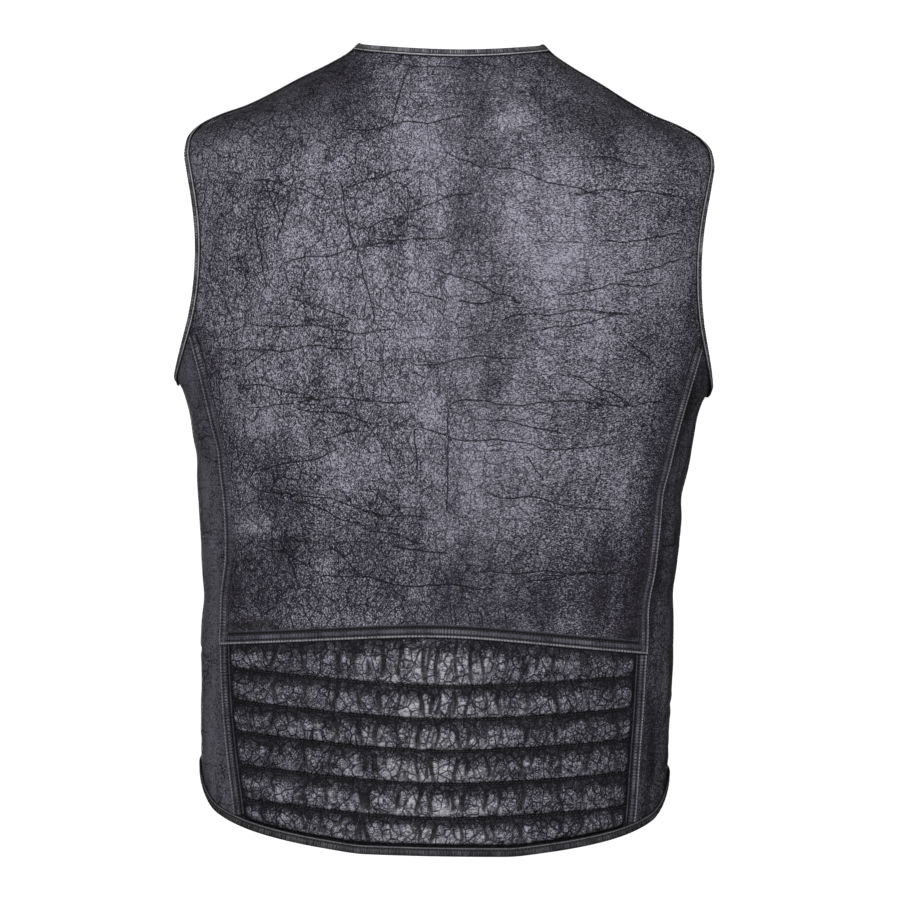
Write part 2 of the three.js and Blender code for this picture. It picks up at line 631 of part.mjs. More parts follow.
function buildVest() {
  const vest = new THREE.Group();
  const back = backPanelSpots();
  const lower = lowerBackSpots();
  const left = frontPanelSpots(1);
  const right = frontPanelSpots(-1);

  for (const [name, panel] of [["back_panel", back], ["lower_back_panel", lower]]) {
    const width = panel.columns + 1;
    const at = (r, c) => r * width + c;
    const triangles = gridTriangles(panel.rows, panel.columns, at, panel.spots);
    vest.add(pieceMesh(name, wallGeometry(panel.spots, triangles), LEATHER));
  }
  vest.add(pieceMesh("front_left", wallGeometry(left.spots, left.triangles), SIDE_LEATHER));
  vest.add(pieceMesh("front_right", wallGeometry(right.spots, right.triangles), SIDE_LEATHER));

  const width = back.columns + 1;
  const backNeck = back.spots.slice(0, width);
  const neck = [...[...right.neck].reverse(), ...backNeck.slice(1, -1), ...left.neck];
  vest.add(pieceMesh("neck_binding", bindingGeometry(neck, 1, false), BINDING));

  const backHem = lower.spots.slice(-width);
  const hem = [...[...right.hem].reverse(), ...backHem.slice(1, -1), ...left.hem];
  vest.add(pieceMesh("hem_binding", bindingGeometry(hem, -1, false), BINDING));

  const armholes = [
    { name: "armhole_binding_left", panel: left, column: width - 1, side: 1 },
    { name: "armhole_binding_right", panel: right, column: 0, side: -1 },
  ];
  const armholeRows = Array.from({ length: ARMHOLE_ROWS }, (_, i) => NECK_ROWS_Z.length + 1 + i);
  for (const { name, panel, column, side } of armholes) {
    const backEdge = armholeRows.map((row) => back.spots[row * width + column]);
    const round = [...backEdge, ...panel.armhole.slice(0, -1)];
    vest.add(pieceMesh(name, bindingGeometry(round, side, true), BINDING));
  }
  for (const stud of buildStuds()) vest.add(stud);
  return vest;
}

export default buildVest();
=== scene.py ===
import math

import bpy
import numpy as np
from mathutils import Matrix, Vector


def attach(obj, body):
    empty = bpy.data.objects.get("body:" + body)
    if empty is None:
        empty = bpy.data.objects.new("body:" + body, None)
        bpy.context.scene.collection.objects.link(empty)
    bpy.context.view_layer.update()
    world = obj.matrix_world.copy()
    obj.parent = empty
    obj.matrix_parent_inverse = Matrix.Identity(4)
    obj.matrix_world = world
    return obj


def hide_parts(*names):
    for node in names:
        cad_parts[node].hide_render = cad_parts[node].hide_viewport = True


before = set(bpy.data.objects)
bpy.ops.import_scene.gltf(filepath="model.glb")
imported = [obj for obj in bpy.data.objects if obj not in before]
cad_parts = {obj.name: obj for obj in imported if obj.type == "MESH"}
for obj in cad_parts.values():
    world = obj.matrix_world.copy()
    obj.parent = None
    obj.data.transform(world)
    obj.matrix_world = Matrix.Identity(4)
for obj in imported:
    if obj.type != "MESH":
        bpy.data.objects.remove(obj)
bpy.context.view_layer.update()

# A distressed leather vest, seen from behind. Lengths are in millimetres until a mesh is made. Angles go
# round the body from the centre of the back (0) by the wearer's left side to the centre of the front.
MM = 0.001


def table(columns, *rows):
    """Rows of numbers with named columns."""
    names = columns.split()
    return [dict(zip(names, row)) for row in rows]


def columns(rows):
    """A table's columns, as arrays."""
    return {name: np.array([row[name] for row in rows], float) for name in rows[0]}


# Leather, seams and bindings
WALL = 2
SEAM_GAP = 0.3
SEAM_RAISE = 1
SEAM_RAISE_WIDTH = 9
SEAM_RAISE_START = 12
BINDING_LEG = 6

# Heights of the main lines
NECK_TOP = -1.9
NECK_BACK_DIP = 7
NECK_DIP_FADE = 40
NECK_FRONT_DROP = 130
NECK_FRONT_ROUNDING = 0.04
LOWER_SEAM_Z = -498
LOWER_SEAM_SIDE_DROP = 13
LOWER_SEAM_FADE = 60
SEAM_MEETS_ARMHOLE_Z = -244
HEM_SEAM_Z = -655
NECK_LIFT = {"height": 3, "from_centre": 88, "half_width": 55, "fade_down": 80}

# Armhole, an oval seen from the side
ARMHOLE_TOP_Z = -77
ARMHOLE_BOTTOM_Z = -289
ARMHOLE_BACK = 58
ARMHOLE_FRONT = 66
ARMHOLE_FRONT_CORNER_Z = -250

# Front closure
LAP = 30
LAP_DEPTH = 6.2
LAP_BLEND = 45
LAP_CLEAR = 5
STUDS = {"count": 5, "top_z": -172, "bottom_z": -585, "radius": 7.5, "height": 3}

# Padded lower back
CHANNELS_Z = [-539.5, -567, -593, -620.5, -649]
CHANNEL_SIDE_RISE = 11
RIB_HEIGHT = 6
RIB_FULLNESS = 0.6
RIB_EDGE_STRIP = 8
RIB_EDGE_FADE = 4
RIB_TO_BINDING = 1.5

SECTIONS = table(
    "z half_width back front square",
    (6, 73, 54, 49, 2.05),
    (-2, 78, 57, 52, 2.05),
    (-10, 86, 60, 55, 2.05),
    (-20, 102, 67, 61, 2.1),
    (-34, 129, 76, 69, 2.15),
    (-46, 150, 83, 75, 2.2),
    (-57, 171.5, 90, 80, 2.25),
    (-66, 195, 95, 84, 2.3),
    (-74, 210, 98, 87, 2.3),
    (-88, 224.5, 104, 92, 2.35),
    (-104, 230, 108, 97, 2.4),
    (-130, 231.5, 112, 103, 2.4),
    (-184, 228.5, 118, 114, 2.45),
    (-250, 229.5, 118, 122, 2.35),
    (-285, 228, 116, 124, 2.35),
    (-300, 221, 114, 123, 2.4),
    (-318, 216, 112, 122, 2.4),
    (-352, 211, 108, 119, 2.4),
    (-400, 206, 102, 114, 2.4),
    (-465, 202, 97, 108, 2.4),
    (-530, 201, 97, 107, 2.4),
    (-607, 199, 101, 109, 2.4),
    (-690, 195, 106, 112, 2.4),
)
SIDE_SEAM = table(
    "z from_centre",
    (-300, 202),
    (-350, 190.5),
    (-400, 183),
    (-450, 180.5),
    (-500, 180),
    (-550, 178),
    (-600, 174),
    (-670, 167),
)
TWIST = table(
    "z degrees",
    (20, 0),
    (-400, 0),
    (-435, 0.2),
    (-480, 1.9),
    (-520, 1.9),
    (-560, 1.7),
    (-600, 1.3),
    (-650, 0.5),
    (-700, 0.3),
)
HEM = table(
    "degrees z",
    (-30, -678),
    (0, -678.4),
    (30, -678),
    (45, -674),
    (60, -666.5),
    (75, -651.5),
    (90, -618),
    (115, -611),
    (145, -619),
    (180, -627),
    (210, -625),
)
FOLDS = table(
    "degrees z half_length half_width lean depth",
    (-8, -88, 75, 13, 9, -1.8),
    (22, -172, 90, 16, -10, -1.6),
    (-30, -235, 80, 18, 14, -2),
    (34, -300, 70, 16, -6, -1.8),
    (-14, -330, 95, 15, 4, -1.5),
    (12, -405, 110, 17, -5, -1.9),
    (-48, -420, 60, 15, 8, -1.7),
    (82, -352, 60, 14, -8, -2.6),
    (-84, -378, 66, 15, 6, -2.8),
    (118, -330, 75, 18, 24, -2.6),
    (-122, -345, 70, 17, -28, -2.4),
    (96, -470, 80, 18, 10, -2.4),
    (-104, -455, 85, 18, -8, -2.6),
    (142, -440, 70, 18, -12, -2.2),
    (-146, -500, 70, 18, 14, -2.2),
    (128, -560, 60, 18, 18, -2),
)

# Narrow creases in the back: the middle of each, as its distance from the centre (positive on the
# wearer's left) and its height, then its half length, lean, bow, depth and half width.
BACK_CREASES = table(
    "across z half_length lean bow depth half_width",
    (33, -72, 52, -7, 2, 0.9, 2.2),
    (86, -181, 50, -11, 3, 1.1, 2.4),
    (96, -241, 68, 2, -3, 0.9, 2.3),
    (88, -306, 76, -3, 3, 1, 2.4),
    (-47, -331, 86, 4, -4, 0.8, 2.2),
    (71, -389, 78, 10, -3, 0.9, 2.4),
    (-80, -385, 56, 7, 3, 0.6, 2.2),
    (-139, -99, 26, 9, 1, 0.9, 2),
    (-128, -126, 32, -6, 2, 0.8, 2.1),
    (44, -13, 5, 88, 0, 0.7, 1.6),
    (45, -48, 30, 86, 2, 0.5, 1.8),
    (22, -20, 36, 4, -2, 0.6, 2.6),
    (-68, -117, 48, 16, 3, 0.6, 2.1),
    (-20, -205, 42, 20, 2, 0.4, 2),
    (-112, -232, 44, -12, -2, 0.6, 2.2),
    (134, -128, 34, 14, 2, 0.7, 2.2),
    (120, -352, 40, -14, -2, 0.6, 2.3),
    (-128, -290, 36, 22, 2, 0.6, 2.1),
    (20, -452, 70, 3, -3, 0.5, 2.3),
    (-104, -448, 44, -8, 2, 0.5, 2.2),
    (138, -432, 30, 18, 1, 0.8, 2.2),
    (156, -268, 18, -34, 1, 0.9, 2.2),
    (-166, -262, 18, 36, 1, 0.9, 2.2),
    (58, -118, 30, -18, 2, 0.5, 2),
    (-14, -268, 46, -6, 2, 0.4, 2),
    (-10, -102, 16, 22, 1, 0.4, 1.8),
    (10, -137, 32, -18, 2, 0.4, 1.9),
    (58, -155, 22, -20, 1, 0.5, 1.9),
    (33, -166, 34, -4, -2, 0.4, 1.9),
    (19, -215, 15, 14, 1, 0.4, 1.8),
    (70, -208, 32, 74, 3, 0.5, 1.9),
    (87, -148, 31, 72, -2, 0.4, 1.9),
    (138, -147, 31, -82, 2, 0.5, 1.9),
    (159, -181, 32, 76, 2, 0.5, 1.9),
    (149, -139, 20, 60, 1, 0.4, 1.8),
    (190, -215, 26, 65, 1, 0.5, 1.9),
    (105, -228, 28, 18, 2, 0.4, 1.8),
    (-163, -126, 45, -1, 2, 0.4, 1.9),
    (-170, -187, 30, -16, 1, 0.6, 2),
    (-130, -206, 52, -8, 2, 0.5, 2),
    (-33, -219, 30, -2, 1, 0.4, 1.8),
    (-90, -228, 56, -5, 2, 0.4, 1.9),
    (-160, -161, 42, -7, -2, 0.4, 1.9),
    (120, -262, 58, -3, 2, 0.5, 2),
    (138, -297, 40, 10, 2, 0.5, 2),
    (90, -316, 36, 10, 2, 0.5, 2),
    (88, -332, 18, -16, 1, 0.5, 1.9),
    (-60, -303, 80, -1, 2, 0.5, 2),
    (-148, -302, 36, -5, 1, 0.5, 2),
    (-66, -322, 30, 9, 2, 0.4, 1.9),
    (98, -394, 38, 20, -2, 0.6, 2),
    (38, -416, 26, 12, 1, 0.4, 1.9),
    (19, -427, 26, 6, 1, 0.4, 1.9),
    (-1, -350, 48, 89, 1, 0.4, 1.9),
    (26, -342, 19, 86, 1, 0.4, 1.8),
    (50, -345, 20, 66, 1, 0.4, 1.8),
    (-60, -444, 42, -1, 1, 0.4, 1.9),
    (-74, -356, 14, 48, 1, 0.4, 1.8),
    (79, -438, 25, 43, 1, 0.4, 1.8),
    (128, -438, 20, 64, 1, 0.4, 1.8),
    (170, -419, 12, 45, 0, 0.7, 2),
)
# Places where the back is rubbed lighter, or dyed darker, than the rest: the middle of each, half its
# width and height, how far its top leans to the wearer's left, and how much lighter it is
WORN_PLACES = table(
    "across z half_width half_height lean lighter",
    (-53, -65, 17, 11, 0, 1.0),
    (12, -91, 20, 13, 0, 0.6),
    (46, -66, 14, 13, 10, 0.45),
    (12, -146, 9, 46, 0, 0.45),
    (31, -200, 9, 30, 4, 0.65),
    (2, -204, 6, 11, 0, 0.6),
    (96, -230, 9, 42, 0, 0.35),
    (119, -261, 15, 15, 0, 0.75),
    (91, -261, 5, 9, 0, -0.7),
    (94, -289, 15, 12, 0, 0.45),
    (-89, -186, 14, 12, 0, 0.5),
    (-55, -154, 8, 28, 16, 0.35),
    (-189, -154, 7, 8, 0, 0.5),
    (-175, -204, 14, 17, 0, 0.45),
    (-118, -268, 10, 22, 0, 0.45),
    (-114, -288, 20, 10, 0, 0.4),
    (-13, -285, 8, 8, 0, 0.35),
    (-38, -285, 12, 12, 0, -0.6),
    (-80, -284, 15, 8, 0, -0.5),
    (-26, -150, 20, 42, 0, -0.4),
    (79, -108, 18, 15, 0, -0.4),
    (42, -154, 8, 30, -4, -0.4),
    (58, -142, 16, 14, 8, 0.35),
    (-21, -372, 9, 30, 0, 0.4),
    (-66, -391, 9, 13, 0, 0.75),
    (-68, -343, 7, 22, 0, 0.35),
    (159, -410, 18, 7, 0, 0.9),
    (88, -394, 11, 8, 0, 0.5),
    (98, -440, 6, 11, 0, 0.5),
    (117, -486, 52, 7, 0, 0.6),
    (-72, -492, 10, 6, 0, 0.8),
    (-105, -486, 14, 8, 0, 0.75),
    (-139, -494, 14, 7, 0, 0.65),
    (33, -478, 26, 9, 0, 0.35),
    (88, -469, 32, 12, 0, -0.4),
    (-114, -452, 8, 26, 0, 0.4),
    (-147, -448, 6, 24, 0, 0.3),
    (-137, -431, 10, 10, 0, -0.5),
    (-131, -461, 12, 18, 0, -0.45),
    (172, -129, 26, 9, 30, -0.35),
    (138, -390, 30, 14, 0, -0.4),
    (126, -427, 30, 12, 0, -0.4),
    (-47, -100, 36, 12, 0, -0.3),
    (88, -37, 26, 15, 0, -0.5),
    (-5, -75, 22, 9, -12, -0.3),
    (-190, -330, 26, 90, 0, -0.6),
    (150, -200, 40, 70, 0, 0.18),
    (0, -440, 120, 34, 0, -0.2),
    (60, -340, 60, 40, 0, 0.16),
)
# Narrow creases in the fronts and sides, by degrees round the body
FRONT_CREASES = table(
    "degrees z half_length lean bow depth half_width",
    (76, -338, 24, -6, 2, 1.3, 2.6),
    (74, -356, 26, 4, -1, 1.1, 2.4),
    (82, -420, 26, -10, 2, 1.1, 2.6),
    (86, -520, 30, 8, 1, 1, 2.6),
    (92, -590, 34, 26, 2, 1.2, 3),
    (-76, -300, 20, 8, 1, 1.2, 2.5),
    (-80, -418, 28, -4, -2, 1.2, 2.6),
    (-88, -560, 34, -28, 2, 1.2, 3),
    (-84, -606, 30, -34, 2, 1.2, 3),
    (116, -360, 44, 30, 3, 1.2, 3),
    (134, -300, 40, 22, 3, 0.9, 2.8),
    (150, -420, 46, -10, 3, 0.9, 2.8),
    (128, -520, 44, 16, -3, 0.9, 2.8),
    (156, -560, 36, -8, 2, 0.8, 2.6),
    (160, -210, 36, 30, 2, 0.8, 2.6),
    (-118, -352, 46, -32, 3, 1.2, 3),
    (-136, -288, 40, -20, 3, 0.9, 2.8),
    (-148, -430, 44, 12, 3, 0.9, 2.8),
    (-130, -540, 42, -14, -3, 0.9, 2.8),
    (-158, -250, 34, -26, 2, 0.8, 2.6),
)
# Cracks that run down over the ribs: distance from the centre, lean in millimetres from the top rib to
# the bottom, depth and half width
RIB_CRACKS = table(
    "across lean depth half_width",
    (53, 16, 2.4, 2.1),
    (34, -3, 1.6, 1.1),
    (17, 2, 2.6, 1.4),
    (8, -4, 1.6, 1),
    (3, 3, 2.4, 1.3),
    (-12, -2, 2.1, 1.2),
    (-24, 5, 2.1, 1.3),
    (-37, -6, 2.1, 1.3),
    (-50, 4, 1.6, 1.4),
    (-71, 8, 1.3, 2.4),
    (-97, -8, 1.3, 2.2),
    (-121, 4, 1, 2.4),
    (-146, -6, 1.1, 2.4),
    (66, -8, 1.5, 2.2),
    (88, 9, 1.2, 2.4),
    (112, -5, 1.2, 2.2),
    (139, 6, 1.1, 2.4),
)
SMALL_RIB_CRACKS = 300  # short ones, scattered
SMALL_CRACK_SPREAD = 75  # how far from the centre most of them lie
CRACK_WAVE = 1.6  # how far a listed crack winds
SMALL_CRACK_WAVE = 0.8
LINE_REACH = 6.0  # how far beside a narrow crease its line may wander
CREASE_STEPS = 20  # points in half a crease
CREASE_MARGIN = 12  # past its ends
EDGE_WIDTH = 9  # of the panel, flat beside its seams
NECK_FLAT = 6  # and below the neck
FLAT_FADE = 14

# Soft unevenness of the leather
BACK_LUMPS = table("size seed height", (60, 3, 0.5), (24, 4, 0.22), (9, 5, 0.07))
RIB_LUMPS = table("size seed height", (26, 7, 0.45), (11, 8, 0.24))
FRONT_LUMPS = table("size seed height", (70, 13, 0.5), (28, 14, 0.2))
LUMP_WAVES = 11

# Where the back is darker, partly burnished and partly painted shade: beside its seams and over the ends of
# the lower seam; on the shoulders, which face up into the light, it is painted shade only
RIM_FADE = 11
ARMHOLE_RIM = 0.35
LOW_RIM = {"height": 15, "half_height": 6, "from_centre": 110, "fade": 50}
SHOULDER_SHADE = {"from_centre": 60, "fade": 60, "bottom_z": -116, "rise": 54, "strength": 0.6}
FRONT_RIM_FADE = 8
FRONT_CALM = 12  # the fronts' folds fade out this near to their edges

TURN = math.tau / 4


def ease(share):
    t = np.clip(share, 0, 1)
    return t * t * (3 - 2 * t)


def mix(low, high, share):
    return low + (high - low) * share


def curve_through(rows, key, column):
    """A smooth curve through a table's rows that never overshoots them."""
    rows = sorted(rows, key=lambda row: row[key])
    at = columns(rows)[key]
    value = columns(rows)[column]
    slope = np.diff(value) / np.diff(at)
    tangent = np.zeros(len(at))
    tangent[0] = slope[0]
    tangent[-1] = slope[-1]
    product = slope[:-1] * slope[1:]
    total = np.where(product > 0, slope[:-1] + slope[1:], 1)
    tangent[1:-1] = np.where(product > 0, 2 * product / total, 0)

    def curve(position):
        position = np.asarray(position, float)
        i = np.clip(np.searchsorted(at, position) - 1, 0, len(at) - 2)
        span = at[i + 1] - at[i]
        t = (position - at[i]) / span
        rise = value[i + 1] - value[i]
        start = tangent[i] * span
        end = tangent[i + 1] * span
        return value[i] + t * (start + t * (3 * rise - 2 * start - end + t * (start + end - 2 * rise)))

    return curve


half_width_at, back_at, front_at, square_at = (
    curve_through(SECTIONS, "z", column) for column in ("half_width", "back", "front", "square")
)
twist_degrees = curve_through(TWIST, "z", "degrees")
hem_at_degrees = curve_through(HEM, "degrees", "z")


def hem_height(angle):
    return hem_at_degrees(np.degrees(np.abs(angle)))


def twist(z):
    """How far the worn leather is turned round the body, toward the wearer's left."""
    return np.radians(twist_degrees(z))


def body_point(leather_angle, z):
    leather_angle, z = np.broadcast_arrays(np.asarray(leather_angle, float), np.asarray(z, float))
    angle = leather_angle + twist(z)
    depth = np.where(np.cos(angle) > 0, back_at(z), front_at(z))
    square = square_at(z)
    across = (np.abs(np.sin(angle)) / half_width_at(z)) ** square
    along = (np.abs(np.cos(angle)) / depth) ** square
    reach = (across + along) ** (-1 / square)
    x = reach * np.sin(angle)
    beside = (x + NECK_LIFT["from_centre"]) / NECK_LIFT["half_width"]
    lift = NECK_LIFT["height"] * np.exp(-beside * beside + z / NECK_LIFT["fade_down"])
    return np.stack([x, reach * np.cos(angle), z + lift], -1)


def unit(vectors):
    return vectors / np.linalg.norm(vectors, axis=-1, keepdims=True)


def body_normal(angle, z):
    turn = 0.002
    drop = 0.2
    around = body_point(angle + turn, z) - body_point(angle - turn, z)
    down = body_point(angle, z - drop) - body_point(angle, z + drop)
    return unit(np.cross(around, down))


def angle_at_depth(distance, z):
    depth = np.where(distance > 0, back_at(z), front_at(z))
    square = square_at(z)
    inside = np.clip(1 - (np.abs(distance) / depth) ** square, 0, 1)
    return np.arctan2(half_width_at(z) * inside ** (1 / square), distance)


def angle_at_width(distance, z):
    square = square_at(z)
    inside = np.clip(1 - (np.abs(distance) / half_width_at(z)) ** square, 0, 1)
    return np.arctan2(distance, back_at(z) * inside ** (1 / square))


def turn_for(distance, angle, z):
    """The turn that moves a point by a distance round the body."""
    turn = 0.01
    apart = body_point(angle + turn, z) - body_point(angle - turn, z)
    return distance * 2 * turn / np.linalg.norm(apart, axis=-1)


def placed_folds():
    folds = []
    for fold in FOLDS:
        angle = math.radians(fold["degrees"])
        step = math.radians(1)
        level = unit(body_point(angle + step, fold["z"]) - body_point(angle - step, fold["z"]))
        folds.append((fold, body_point(angle, fold["z"]), level, math.radians(fold["lean"])))
    return folds


FOLD_PLACES = placed_folds()


def fold_depth(points):
    total = np.zeros(points.shape[:-1])
    for fold, middle, level, lean in FOLD_PLACES:
        away = points - middle
        side = away @ level
        along = (side * math.cos(lean) + away[..., 2] * math.sin(lean)) / fold["half_length"]
        across = (away[..., 2] * math.cos(lean) - side * math.sin(lean)) / fold["half_width"]
        through = np.linalg.norm(away, axis=-1) / (2 * fold["half_length"])
        total += fold["depth"] * np.exp(-along**2 - across**2 - through**4)
    return total


def leather_point(angle, z, out=0.0):
    """A point of the leather, `out` beyond its plain outer face."""
    base = body_point(angle, z)
    lifted = (fold_depth(base) + out)[..., None]
    return base + body_normal(angle, z) * lifted


def lumps(points, size, seed):
    """Soft random unevenness of about that size, from -1 to 1 at most places."""
    chance = np.random.default_rng(seed)
    total = np.zeros(points.shape[:-1])
    for _ in range(LUMP_WAVES):
        heading = unit(chance.normal(size=3))
        length = size * chance.uniform(0.7, 1.6)
        total += np.sin(points @ heading * (math.tau / length) + chance.uniform(0, math.tau))
    return total / math.sqrt(LUMP_WAVES)


def unevenness(points, rows):
    return sum(lumps(points, row["size"], row["seed"]) * row["height"] for row in rows)


def crease_relief(points, creases, angle_of):
    """How deep the narrow creases press the leather in, the distance from the line of the nearest one
    (negative on one side of it) and how plain that line is."""
    shape = points.shape[:-1]
    flat = points.reshape(-1, 3)
    depth = np.zeros(len(flat))
    line_gap = np.full(len(flat), LINE_REACH)
    line = np.zeros(len(flat))
    samples = np.linspace(-1, 1, 2 * CREASE_STEPS + 1)
    chance = np.random.default_rng(31)
    for crease in creases:
        lean = math.radians(crease["lean"])
        reach = samples * crease["half_length"]
        wander = np.sin(samples * chance.uniform(4, 7) + chance.uniform(0, 6)) * crease["half_length"] * 0.03
        z = crease["z"] + reach * math.sin(lean) + crease["bow"] * (1 - samples**2) + wander
        middle = angle_of(crease)
        angle = middle + turn_for(reach * math.cos(lean), middle, crease["z"])
        path = body_point(angle, z)
        across = unit(np.cross(body_normal(angle, z), np.gradient(path, axis=0)))
        from_middle = np.linalg.norm(flat - path[CREASE_STEPS], axis=1)
        near = np.where(from_middle < crease["half_length"] + CREASE_MARGIN)[0]
        apart = np.linalg.norm(flat[near][:, None, :] - path[None], axis=2)
        nearest = apart.argmin(axis=1)
        taper = np.clip(1 - samples[nearest] ** 2, 0, 1) ** 0.6
        gap = apart.min(axis=1) / crease["half_width"]
        press = np.exp(-(gap**2)) - 0.3 * np.exp(-((gap - 2.3) ** 2))
        depth[near] += crease["depth"] * taper * press
        side = ((flat[near] - path[nearest]) * across[nearest]).sum(axis=1)
        closer = (np.abs(side) < np.abs(line_gap[near])) & (taper > 0)
        line_gap[near[closer]] = side[closer]
        line[near[closer]] = taper[closer]
    line = line * np.clip(2 - 2 * np.abs(line_gap) / LINE_REACH, 0, 1)
    return depth.reshape(shape), line_gap.reshape(shape), line.reshape(shape)


def rubbed_places(points):
    """How much lighter the back's leather is rubbed at each point."""
    total = np.zeros(points.shape[:-1])
    for worn in WORN_PLACES:
        down = points[..., 2] - worn["z"]
        side = points[..., 0] - worn["across"] - worn["lean"] * down / worn["half_height"]
        away = (side / worn["half_width"]) ** 2 + (down / worn["half_height"]) ** 2
        total += worn["lighter"] * np.exp(-away)
    return total


# Edges of the panels
ARMHOLE_MIDDLE = (ARMHOLE_TOP_Z + ARMHOLE_BOTTOM_Z) / 2
ARMHOLE_HALF = (ARMHOLE_TOP_Z - ARMHOLE_BOTTOM_Z) / 2


def armhole_turn_at(z):
    return np.arccos(np.clip((z - ARMHOLE_MIDDLE) / ARMHOLE_HALF, -1, 1))


def armhole_station(turn):
    z = ARMHOLE_MIDDLE + ARMHOLE_HALF * np.cos(turn)
    distance = np.sin(turn) * np.where(np.sin(turn) > 0, ARMHOLE_BACK, ARMHOLE_FRONT)
    return angle_at_depth(distance, z), z


def armhole_angle(z, side):
    return np.where(z >= ARMHOLE_TOP_Z, TURN, armhole_station(side * armhole_turn_at(z))[0])


seam_start_angle, _ = armhole_station(armhole_turn_at(SEAM_MEETS_ARMHOLE_Z))
seam_start_x = float(body_point(seam_start_angle, SEAM_MEETS_ARMHOLE_Z)[0])
seam_from_centre = curve_through(
    [{"z": SEAM_MEETS_ARMHOLE_Z, "from_centre": seam_start_x}, *SIDE_SEAM], "z", "from_centre"
)


def seam_angle(z):
    return angle_at_width(seam_from_centre(z), z)


def neck_front_height(share):
    def valley(t):
        return 1 - np.sqrt(np.cos(t * TURN) ** 2 + NECK_FRONT_ROUNDING)

    return NECK_TOP - NECK_FRONT_DROP * (valley(share) - valley(0)) / (valley(1) - valley(0))


def back_edge_angle(z):
    half = SEAM_GAP / 2
    top = TURN - turn_for(half, TURN, z)
    low = np.minimum(z, SEAM_MEETS_ARMHOLE_Z)
    seam = seam_angle(low)
    below = seam - turn_for(half, seam, low)
    beside = np.where(z > SEAM_MEETS_ARMHOLE_Z + half, armhole_angle(z, 1), below)
    return np.where(z >= ARMHOLE_TOP_Z, top, beside)


def lower_seam_height(u):
    return LOWER_SEAM_Z - LOWER_SEAM_SIDE_DROP * u * u


def back_hem_height(u):
    return hem_height(u * seam_angle(HEM_SEAM_Z))


def centre_front_angle(z):
    return math.pi + np.arctan2(LAP / 2, front_at(z))


def layer_offset(angle, z):
    """The right front lies further in near the centre, so that the left one closes over it."""
    beyond = body_point(-angle - twist(z), z)[..., 0] - LAP / 2 - LAP_CLEAR
    return np.where(angle < -TURN, -LAP_DEPTH * (1 - ease(beyond / LAP_BLEND)), 0)


# Meshes
def new_piece(name, points, faces, materials):
    mesh = bpy.data.meshes.new(name)
    mesh.from_pydata((np.asarray(points) * MM).tolist(), [], [list(map(int, face)) for face in faces])
    for material in materials:
        mesh.materials.append(material)
    mesh.shade_smooth()
    piece = bpy.data.objects.new(name, mesh)
    bpy.context.collection.objects.link(piece)
    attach(piece, "root")
    return piece


def give(piece, **marks):
    """Writes one number for each point of a piece, for its material to read."""
    for name, values in marks.items():
        spread = np.zeros(len(piece.data.vertices), np.float32)
        flat = np.asarray(values, np.float32).reshape(-1)
        spread[: len(flat)] = flat
        attribute = piece.data.attributes.new(name, "FLOAT", "POINT")
        attribute.data.foreach_set("value", spread)


def grid_quads(numbers):
    """Quads of a grid of point numbers whose rows go down and whose columns go by rising angle."""
    corners = [numbers[:-1, :-1], numbers[:-1, 1:], numbers[1:, 1:], numbers[1:, :-1]]
    return np.stack(corners, -1).reshape(-1, 4)


def loop_quads(rings, size, start=0, closed=False):
    """Quads of a tube: rings of points, each of which closes on itself."""
    quads = []
    for ring in range(rings if closed else rings - 1):
        here = start + ring * size
        after = start + ((ring + 1) % rings) * size
        for k in range(size):
            after_k = (k + 1) % size
            quads.append((here + k, here + after_k, after + after_k, after + k))
    return quads


def tube_faces(rings, size, start=0, closed=False, turned=False):
    """Faces of a tube, which has an end at each side unless it closes on itself."""
    faces = loop_quads(rings, size, start, closed)
    if not closed:
        faces.append(tuple(start + k for k in range(size - 1, -1, -1)))
        faces.append(tuple(start + (rings - 1) * size + k for k in range(size)))
    if turned:
        faces = [tuple(reversed(face)) for face in faces]
    return faces


def wall_faces(outer_faces, count):
    """Faces of a wall whose inner points follow its outer ones in number: outer, inner and rim."""
    outer = [tuple(face) for face in outer_faces]
    inner = [tuple(int(i) + count for i in reversed(face)) for face in outer]
    edges = {}
    for face in outer:
        for i, a in enumerate(face):
            edges[(a, face[(i + 1) % len(face)])] = True
    rim = [(b, a, a + count, b + count) for a, b in edges if (b, a) not in edges]
    return outer, inner, rim


# Materials
SWAY = 0.45  # how far the borders of cells wander, as a share of a cell
SWAY_SIZE = 0.9


class Value:
    """A number that a material works out at each point; arithmetic on it adds Math nodes."""

    def __init__(self, look, socket):
        self.look = look
        self.socket = socket

    def __add__(self, other):
        return self.look.math("ADD", self, other)

    __radd__ = __add__

    def __sub__(self, other):
        return self.look.math("SUBTRACT", self, other)

    def __rsub__(self, other):
        return self.look.math("SUBTRACT", other, self)

    def __mul__(self, other):
        return self.look.math("MULTIPLY", self, other)

    __rmul__ = __mul__

    def __pow__(self, other):
        return self.look.math("POWER", self, other)

    def __abs__(self):
        return self.look.math("ABSOLUTE", self)

    def rise(self, low, high):
        """0 where this is at or below low, 1 at or above high, soft between."""
        return self.look.node(
            "ShaderNodeMapRange",
            {"interpolation_type": "SMOOTHSTEP"},
            {"Value": self, "From Min": low, "From Max": high},
        )


